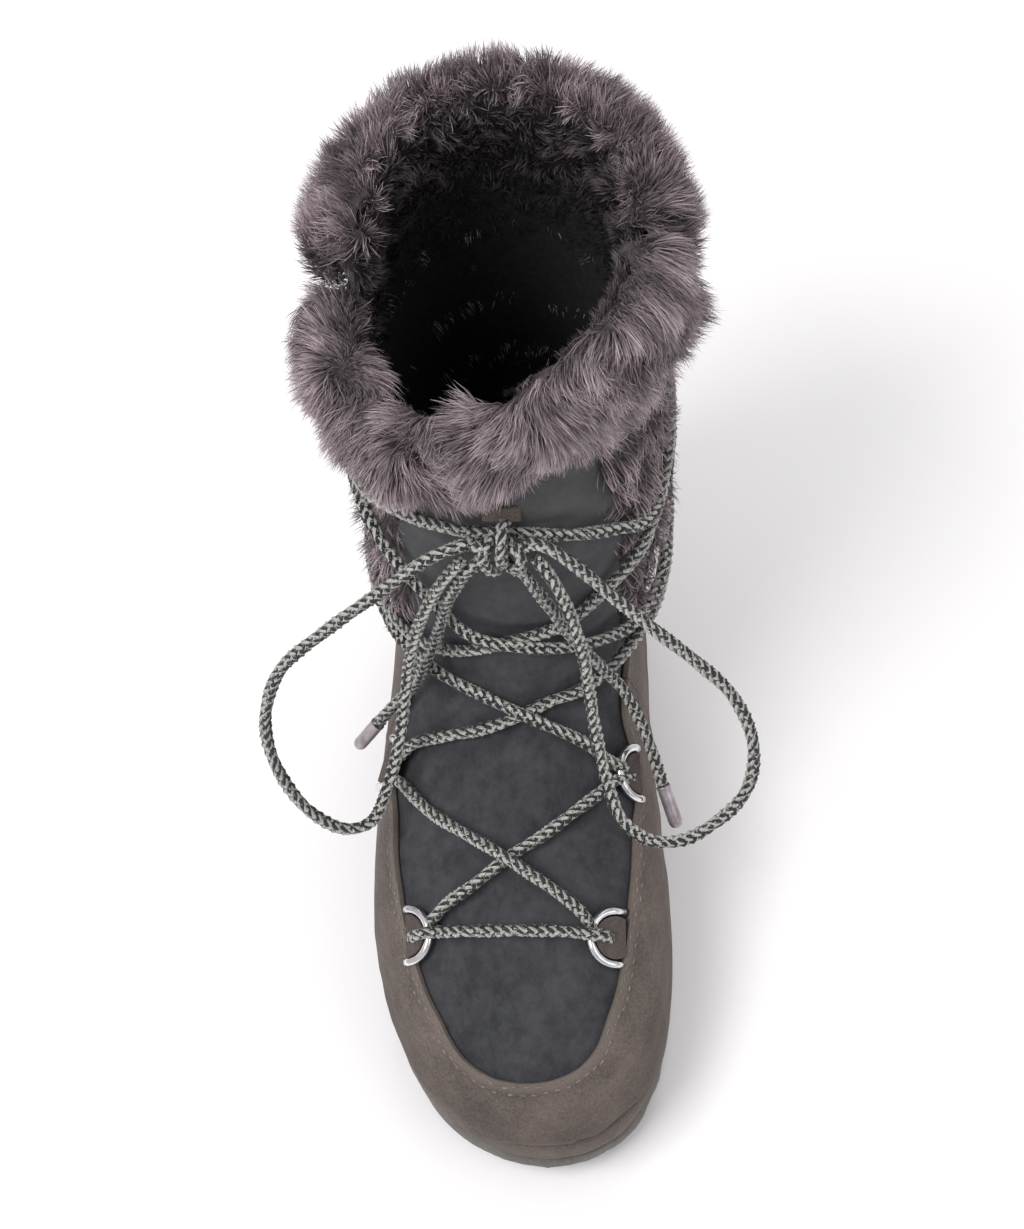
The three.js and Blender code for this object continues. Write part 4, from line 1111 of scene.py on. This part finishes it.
def placed_at(at, bow, face):
    """The turn and place of a ring: its bow along X, its face along Z."""
    x = Vector(bow).normalized()
    z = (Vector(face) - x * x.dot(Vector(face))).normalized()
    turn = Matrix((x, z.cross(x), z)).transposed().to_4x4()
    return Matrix.Translation(Vector(at) * MM) @ turn


def make_ring(name, place, leg_length):
    """Half a turn of wire whose two legs run back under the suede."""
    shape = bmesh.new()
    bmesh.ops.create_circle(shape, segments=WIRE_SIDES, radius=RING_WIRE)
    start = Matrix.Rotation(-RING_HALF_TURN, 4, "Z") @ Matrix.Translation((RING_BOW, 0, 0))
    bmesh.ops.transform(shape, matrix=start @ Matrix.Rotation(math.pi / 2, 4, "X"), verts=shape.verts)
    bmesh.ops.spin(shape, geom=shape.verts[:] + shape.edges[:], cent=(0, 0, 0), axis=(0, 0, 1),
                   angle=2 * RING_HALF_TURN, steps=RING_STEPS)
    for end in (-1, 1):
        rim = [e for e in shape.edges if e.is_boundary and e.verts[0].co.y * end > 0]
        leg = bmesh.ops.extrude_edge_only(shape, edges=rim)["geom"]
        leg = [v for v in leg if isinstance(v, bmesh.types.BMVert)]
        bmesh.ops.translate(shape, vec=(-leg_length * MM, 0, -LEG_SINK * leg_length * MM), verts=leg)
    bmesh.ops.holes_fill(shape, edges=shape.edges)
    mesh = finish_shape(shape, f"ring_{name}", place)
    add_piece(f"ring_{name}", mesh, "ring_steel", f"half_ring_{name}", polished)


def make_tab(name, place, root):
    """A half-moon of leather whose flat side lies under the suede."""
    shape = bmesh.new()
    bmesh.ops.create_circle(shape, segments=TAB_SIDES, radius=TAB_REACH, cap_ends=True)
    bmesh.ops.bisect_plane(shape, geom=shape.verts[:] + shape.edges[:] + shape.faces[:],
                           plane_co=(-root * MM, 0, 0), plane_no=(-1, 0, 0), clear_outer=True)
    grown = bmesh.ops.extrude_face_region(shape, geom=shape.faces[:])
    lifted = [v for v in grown["geom"] if isinstance(v, bmesh.types.BMVert)]
    bmesh.ops.translate(shape, vec=(0, 0, TAB_THICK), verts=lifted)
    bmesh.ops.translate(shape, vec=(0, 0, -TAB_THICK / 2), verts=shape.verts)
    rim = [e for e in shape.edges if e.verts[0].co.z > 0 and e.verts[1].co.z > 0]
    bmesh.ops.bevel(shape, geom=rim, offset=TAB_ROUND, offset_type="OFFSET", segments=3, profile=0.5,
                    affect="EDGES", material=-1, clamp_overlap=True)
    mesh = finish_shape(shape, f"leather_tab_{name}", place)
    add_piece(f"leather_tab_{name}", mesh, "tab_leather", f"tab_{name}", tab_leather)


for name, at, bow, face, leg_length, root in HALF_RINGS:
    make_ring(name, placed_at(at, bow, face), leg_length)
    make_tab(name, placed_at(at, bow, face), root)
print("rings:", [row[0] for row in HALF_RINGS])

# %% [markdown]
# ## Lace keeper
# A small folded suede loop under the cuff keeps the bow's knot in place. It is a strip with rounded edges,
# wider at its two sewn ends than in the middle, where it bows out for the rope.

# %% Lace keeper
KEEPER_CENTRE = (1.7, 4.5, 186.2)
KEEPER_SIZE = (12, 2, 6)
KEEPER_CUTS = 5
KEEPER_BOW = 0.9 * MM
KEEPER_WAIST = 0.86
KEEPER_TILT = math.radians(-20)
CORNER_ANGLE = 0.9


def make_keeper():
    """A strip that bows out and narrows in the middle, with rounded edges."""
    shape = bmesh.new()
    bmesh.ops.create_cube(shape, size=1)
    bmesh.ops.scale(shape, vec=Vector(KEEPER_SIZE) * MM, verts=shape.verts)
    bmesh.ops.subdivide_edges(shape, edges=shape.edges[:], cuts=KEEPER_CUTS, use_grid_fill=True)
    for vertex in shape.verts:
        share = abs(vertex.co.x) / (KEEPER_SIZE[0] / 2 * MM)
        vertex.co.y -= (1 - share ** 2) * KEEPER_BOW
        vertex.co.z *= KEEPER_WAIST + (1 - KEEPER_WAIST) * share
    sharp = [e for e in shape.edges if len(e.link_faces) == 2 and e.calc_face_angle(0) > CORNER_ANGLE]
    bmesh.ops.bevel(shape, geom=sharp, offset=0.4 * MM, offset_type="OFFSET", segments=2, profile=0.5,
                    affect="EDGES", material=-1)
    place = Matrix.Translation(Vector(KEEPER_CENTRE) * MM) @ Matrix.Rotation(KEEPER_TILT, 4, "X")
    mesh = finish_shape(shape, "suede_keeper", place)
    add_piece("suede_keeper", mesh, "taupe_suede", "lace_keeper", platform_suede)


make_keeper()
print("keeper at", KEEPER_CENTRE)

# %% [markdown]
# ## Fur: how a pelt is grown
# Long fur is dense at the skin, and its hairs gather into locks that lean together. Its hairs are painted
# dark
# at the root and pale at the tip: partly the fur's own tone, partly painted shade down in the pelt and
# painted highlight at the tips. Hair curves would look right but don't travel to other programs, so each
# lock's hairs are thin strips in one joined mesh, made from arrays: a root, an elbow that rises off the skin,
# and a tip that is pulled towards the middle of its lock. The strip's own map says how far along it is and
# how pale.

# %% Fur helpers
HAIR_STEPS = np.array([0, 0.36, 0.72, 1])    # how far along a hair its points lie
HAIR_TAPER = {1: 1.0, 2: 0.66}               # width at its two middle points
HAIR_TRIANGLES = ((0, 2, 1), (1, 2, 4), (1, 4, 3), (3, 4, 5))
HAIR_POINTS = 6
TONE_PATCH = 9 * MM
SWIRL_WAVES = 7
SWIRL_SPAN = 2.6          # brings the sum of the waves to about 1
HAIR_SPREAD = 0.24        # how far a hair strays from the lay of the fur
ROOM_FROM, ROOM = 0.3 * MM, 4 * MM   # a hair needs this much free way over its root
LOCK_SPREAD = 0.3         # how much of its own place a hair keeps in a gathered lock


def soft_swirl(places, wavelength, seed):
    """Three smooth random numbers for each place, about -1 to 1: a few crossed waves."""
    random = np.random.default_rng(seed)
    total = np.zeros((len(places), 3))
    for _ in range(SWIRL_WAVES):
        wave = unit(random.normal(size=(3, 3))) * 2 * math.pi / wavelength * random.uniform(0.6, 1.6)
        total += np.sin(places @ wave.T + random.uniform(0, 2 * math.pi, 3))
    return total / SWIRL_SPAN


def skin_of(node, first_rounds, voxel, inset, rounds):
    """The fur's skin: a solid's smooth copy, drawn in along its normals and relaxed."""
    mesh = relax(merged_copy(node), first_rounds, voxel)
    set_points(mesh, point_array(mesh) - normal_array(mesh) * inset)
    return relax(mesh, rounds)


def grow_fur(name, skin, count, seed, chance, length, lay, clump=0.5, hair=0.34 * MM, lock=20):
    """Hairs on a skin. chance, length and lay are functions of places on the skin and of its normals;
    clump is how far a hair leans to its lock, hair its width, and lock the hairs in one."""
    random = np.random.default_rng(seed)
    points, normals = point_array(skin), normal_array(skin)
    skin.calc_loop_triangles()
    corners = np.empty(3 * len(skin.loop_triangles), int)
    skin.loop_triangles.foreach_get("vertices", corners)
    corners = corners.reshape(-1, 3)
    middles, facing = points[corners].mean(axis=1), unit(normals[corners].mean(axis=1))
    first, second, third = (points[corners[:, i]] for i in range(3))
    area = np.linalg.norm(np.cross(second - first, third - first), axis=1)
    share = area * chance(middles, facing)
    picked = random.choice(len(area), count, p=share / share.sum())
    weights = random.dirichlet((1, 1, 1), count)[:, :, None]
    roots = (points[corners[picked]] * weights).sum(axis=1)
    ups = unit((normals[corners[picked]] * weights).sum(axis=1))

    long = length(roots, ups) * random.uniform(0.62, 1.12, count)
    way = unit(lay(roots, ups) + random.normal(scale=HAIR_SPREAD, size=(count, 3)))
    tips = roots + way * long[:, None]
    centres = random.choice(count, max(1, count // lock), replace=False)
    tree = tree_of_places(roots[centres])
    mine = centres[[tree.find(place)[1] for place in roots]]
    gathered = tips[mine] + (roots - roots[mine]) * LOCK_SPREAD
    pull = clump * random.uniform(0.5, 1.2, count)[:, None]
    tips = tips * (1 - pull) + gathered * pull
    elbows = roots + unit(ups * 1.1 + way * 0.5) * (long * 0.48)[:, None]

    t = HAIR_STEPS[:, None, None]
    curve = (1 - t) ** 2 * roots + 2 * t * (1 - t) * elbows + t ** 2 * tips
    across = unit(np.cross(tips - roots, ups) + random.normal(scale=0.5, size=(count, 3)) * long[:, None])
    widths = hair * random.uniform(0.7, 1.25, count)[:, None] / 2
    rows = [curve[0]]
    for step, taper in HAIR_TAPER.items():
        rows += [curve[step] - across * widths * taper, curve[step] + across * widths * taper]
    rows.append(curve[3])
    verts = np.stack(rows, axis=1).reshape(-1, 3)
    patch = 0.22 * soft_swirl(roots[mine], TONE_PATCH, seed + 1)[:, 0]
    tone = np.clip(0.5 + patch + random.normal(scale=0.14, size=count), 0.02, 0.98)
    along = HAIR_STEPS[[0, 1, 1, 2, 2, 3]]
    marks = np.stack([np.repeat(tone, HAIR_POINTS), np.tile(along, count)], axis=1)
    base = HAIR_POINTS * np.arange(count)[:, None]
    triangles = np.stack([base + np.array(face) for face in HAIR_TRIANGLES], axis=1).reshape(-1, 3)
    mesh = mesh_from_arrays(name, verts, triangles, marks)
    print(name, len(mesh.polygons), "triangles")
    return mesh


def make_fur_material(name, dark, middle, pale, tip):
    """Hair colour from root to tip, paler or darker by the lock it is in. The dark root is partly painted
    shade down in the pelt, and the pale tip partly painted highlight.
    """
    material, shader = new_material(name, roughness=0.6, sheen=0.1)
    tone, along = own_map(material)[:2]
    # dark roots and pale tips: partly the fur's own tone, partly painted shade in the pelt and painted
    # highlight at the tips
    hair = ramp(material, along, [(0.0, dark), (0.42, middle), (0.8, pale), (1.0, tip)])
    shade = ramp(material, tone, [(0.1, (0.34, 0.32, 0.33, 1)), (0.5, (0.8, 0.78, 0.79, 1)),
                                  (0.92, (1.35, 1.33, 1.34, 1))])
    patch = ramp(material, noise(material, 60, 4),
                 [(0.35, (0.78, 0.76, 0.77, 1)), (0.68, (1.15, 1.1, 1.12, 1))])
    shaded = mix(material, 1.0, hair, shade, "MULTIPLY")
    paint(material, shader, mix(material, 1.0, shaded, patch, "MULTIPLY"))
    return material


fur_hair = make_fur_material("fur_hair", srgb(40, 35, 37), srgb(104, 93, 96), srgb(164, 151, 154),
                             srgb(216, 207, 210))
under_fur = make_mottled("under_fur", [(0.3, srgb(38, 33, 35)), (0.7, srgb(78, 69, 72))],
                         (500, 5), (800, 5), 1.0, 1.5 * MM, roughness=0.95)


def make_pile_material():
    """The short pile of the lining: greyer towards the collar, and darkened deep inside as painted shade."""
    material, shader = new_material("lining_pile", roughness=0.8)
    along = ramp(material, own_map(material)[1],
                 [(0.0, srgb(26, 23, 25)), (0.6, srgb(70, 62, 65)), (1.0, srgb(122, 110, 114))])
    # painted shade: the pile is mixed towards near black deeper inside the boot
    deep = between(material, object_height(material), 0.244, 0.19)
    paint(material, shader, mix(material, deep, along, srgb(24, 22, 25)))
    return material


def clear_of_upper(middles, facing):
    """1 where a hair has room to grow, 0 where the skin lies against the upper."""
    free = [upper_tree.ray_cast(Vector(m + f * ROOM_FROM), Vector(f), ROOM)[0] is None
            for m, f in zip(middles, facing)]
    return np.array(free, float)


def add_fur(name, node, skin, hairs):
    """The skin stands for the solid, and the hairs go with it."""
    add_piece(f"{name}_skin", skin, "fur", node, under_fur)
    add_piece(name, hairs, "fur", node, fur_hair)


print("fur: hairs of", len(HAIR_TRIANGLES), "triangles")



# %% [markdown]
# ## Cuff fur
# The front of the collar is folded out and down, so its fur hangs and sweeps a little to each side. Its roots
# lie on a skin drawn in from the solid by about the depth of the fur, so that the tips end where the solid
# does.

# %% Cuff fur
UP = np.array([0, 0, 1.0])
ROLL_VOXEL = 2.2 * MM
ROLL_DEPTH = 4.5 * MM     # how far the skin lies under the outside of the roll
ROLL_HAIRS = 46000
CUFF_HAIR = 12.5 * MM


def out_of_shaft(roots):
    """Level directions away from the shaft's middle."""
    away = roots - SHAFT_MIDDLE
    away[:, 2] = 0
    return unit(away)


def cuff_lay(roots, ups):
    away = out_of_shaft(roots)
    hang = -0.85 * UP + 0.4 * away
    return unit(ups * 0.5 + hang + 0.66 * soft_swirl(roots, 26 * MM, 11))


def cuff_length(roots, ups):
    return CUFF_HAIR * (1 + 0.14 * soft_swirl(roots, 18 * MM, 12)[:, 0])


cuff_skin = skin_of("cuff_fur", 14, ROLL_VOXEL, ROLL_DEPTH, 6)
cuff_hairs = grow_fur("cuff_fur_hairs", cuff_skin, ROLL_HAIRS, 21, clear_of_upper, cuff_length, cuff_lay)
add_fur("cuff_fur_hairs", "cuff_fur", cuff_skin, cuff_hairs)

# %% [markdown]
# ## Collar fur
# At the back and sides the collar stands, with its fur outwards and up over the rim. Inside the rim the hairs
# are shorter and lie down, as fur does where it is rubbed by a leg.

# %% Collar fur
COLLAR_LOW, COLLAR_RISE = 0.214, 0.02
INNER_HAIR, OUTER_HAIR, TOP_MORE = 8.0 * MM, 12.0 * MM, 1.5 * MM


def collar_lay(roots, ups):
    away = out_of_shaft(roots)
    inner = ((ups * away).sum(axis=1) < 0)[:, None]
    lean = np.where(inner, -0.15 * UP + 0.1 * away, 0.5 * UP + 0.3 * away)
    return unit(ups * 0.85 + lean + 0.5 * soft_swirl(roots, 20 * MM, 13))


def collar_length(roots, ups):
    """Hair length: short inside the rim, and longest at the top outside."""
    inner = (ups * out_of_shaft(roots)).sum(axis=1) < 0.1
    high = np.clip((roots[:, 2] - COLLAR_LOW) / COLLAR_RISE, 0, 1)
    return np.where(inner, INNER_HAIR, OUTER_HAIR + TOP_MORE * high)


collar_skin = skin_of("collar_fur", 14, ROLL_VOXEL, ROLL_DEPTH, 6)
collar_hairs = grow_fur("collar_fur_hairs", collar_skin, ROLL_HAIRS, 22, clear_of_upper, collar_length,
                        collar_lay, clump=0.4)
add_fur("collar_fur_hairs", "collar_fur", collar_skin, collar_hairs)

# %% [markdown]
# ## Lining pile at the collar
# The lining is one pelt with the collar, so its pile is longest at the rim and grows shorter down into the
# boot, where its colour is darkened as painted shade. Deep inside nothing shows, and the shell's near-black
# lining, also painted shade, does for it.

# %% Lining pile at the collar
PILE_FROM, PILE_FULL = 0.178, 0.215
RIM_FROM = 0.235          # above this height the pile grows all round the rim
PILE_HAIRS = 17000
PILE_SHORT, PILE_MORE = 3.5 * MM, 4.5 * MM
DEEP_PILE, PILE_RISE = 0.2, 0.04
PILE_WIDE = 0.5 * MM


def pile_chance(middles, facing):
    """More hairs higher up the inside, and hardly any elsewhere."""
    inside = faces_cavity(middles, facing, upper_tree, platform_tree) | (middles[:, 2] > RIM_FROM)
    return inside * np.clip((middles[:, 2] - PILE_FROM) / (PILE_FULL - PILE_FROM), 0, 1) + 1e-12


def pile_length(roots, ups):
    return PILE_SHORT + PILE_MORE * np.clip((roots[:, 2] - DEEP_PILE) / PILE_RISE, 0, 1)


def pile_lay(roots, ups):
    return unit(ups * 0.8 + 0.45 * UP + 0.5 * soft_swirl(roots, 14 * MM, 15))


pile_hairs = grow_fur("lining_pile_hairs", upper_mesh, PILE_HAIRS, 24, pile_chance, pile_length, pile_lay,
                      clump=0.45, hair=PILE_WIDE)
add_piece("lining_pile_hairs", pile_hairs, "pile_lining", None, make_pile_material())

# %% [markdown]
# ## Shaft fur
# Down the back of the shaft the pelt is shorter and sweeps down and back. It is flat under the lace and puffs
# out between the turns, so each hair's length goes by how far its root is from the rope.

# %% Shaft fur
SHAFT_HAIRS = 26000
SHAFT_HAIR_WIDE = 0.45 * MM
SHAFT_SWEEP = np.array([0, -0.25, -0.6])
UNDER_LACE, PUFFED = 3.2 * MM, 7.2 * MM    # length under the rope, and how much more it grows when free
LACE_PRESS, LACE_FADE = 4 * MM, 7 * MM


def shaft_lay(roots, ups):
    return unit(ups * 0.55 + SHAFT_SWEEP + 0.45 * soft_swirl(roots, 16 * MM, 14))


def shaft_length(roots, ups):
    free = np.clip((distance_to_lace(roots) - LACE_PRESS) / LACE_FADE, 0, 1)
    return UNDER_LACE + PUFFED * free


shaft_skin = skin_of("shaft_fur", 6, 1.6 * MM, 0.4 * MM, 4)
shaft_hairs = grow_fur("shaft_fur_hairs", shaft_skin, SHAFT_HAIRS, 23, clear_of_upper, shaft_length,
                       shaft_lay, hair=SHAFT_HAIR_WIDE)
add_fur("shaft_fur_hairs", "shaft_fur", shaft_skin, shaft_hairs)

# %% [markdown]
# The last lines count the pieces that are shown and their triangles.

# %% Finish
shown = [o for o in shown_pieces() if o.type == "MESH"]
total = 0
for o in shown:
    o.data.calc_loop_triangles()
    total += len(o.data.loop_triangles)
print("pieces:", len(shown), "triangles:", total)
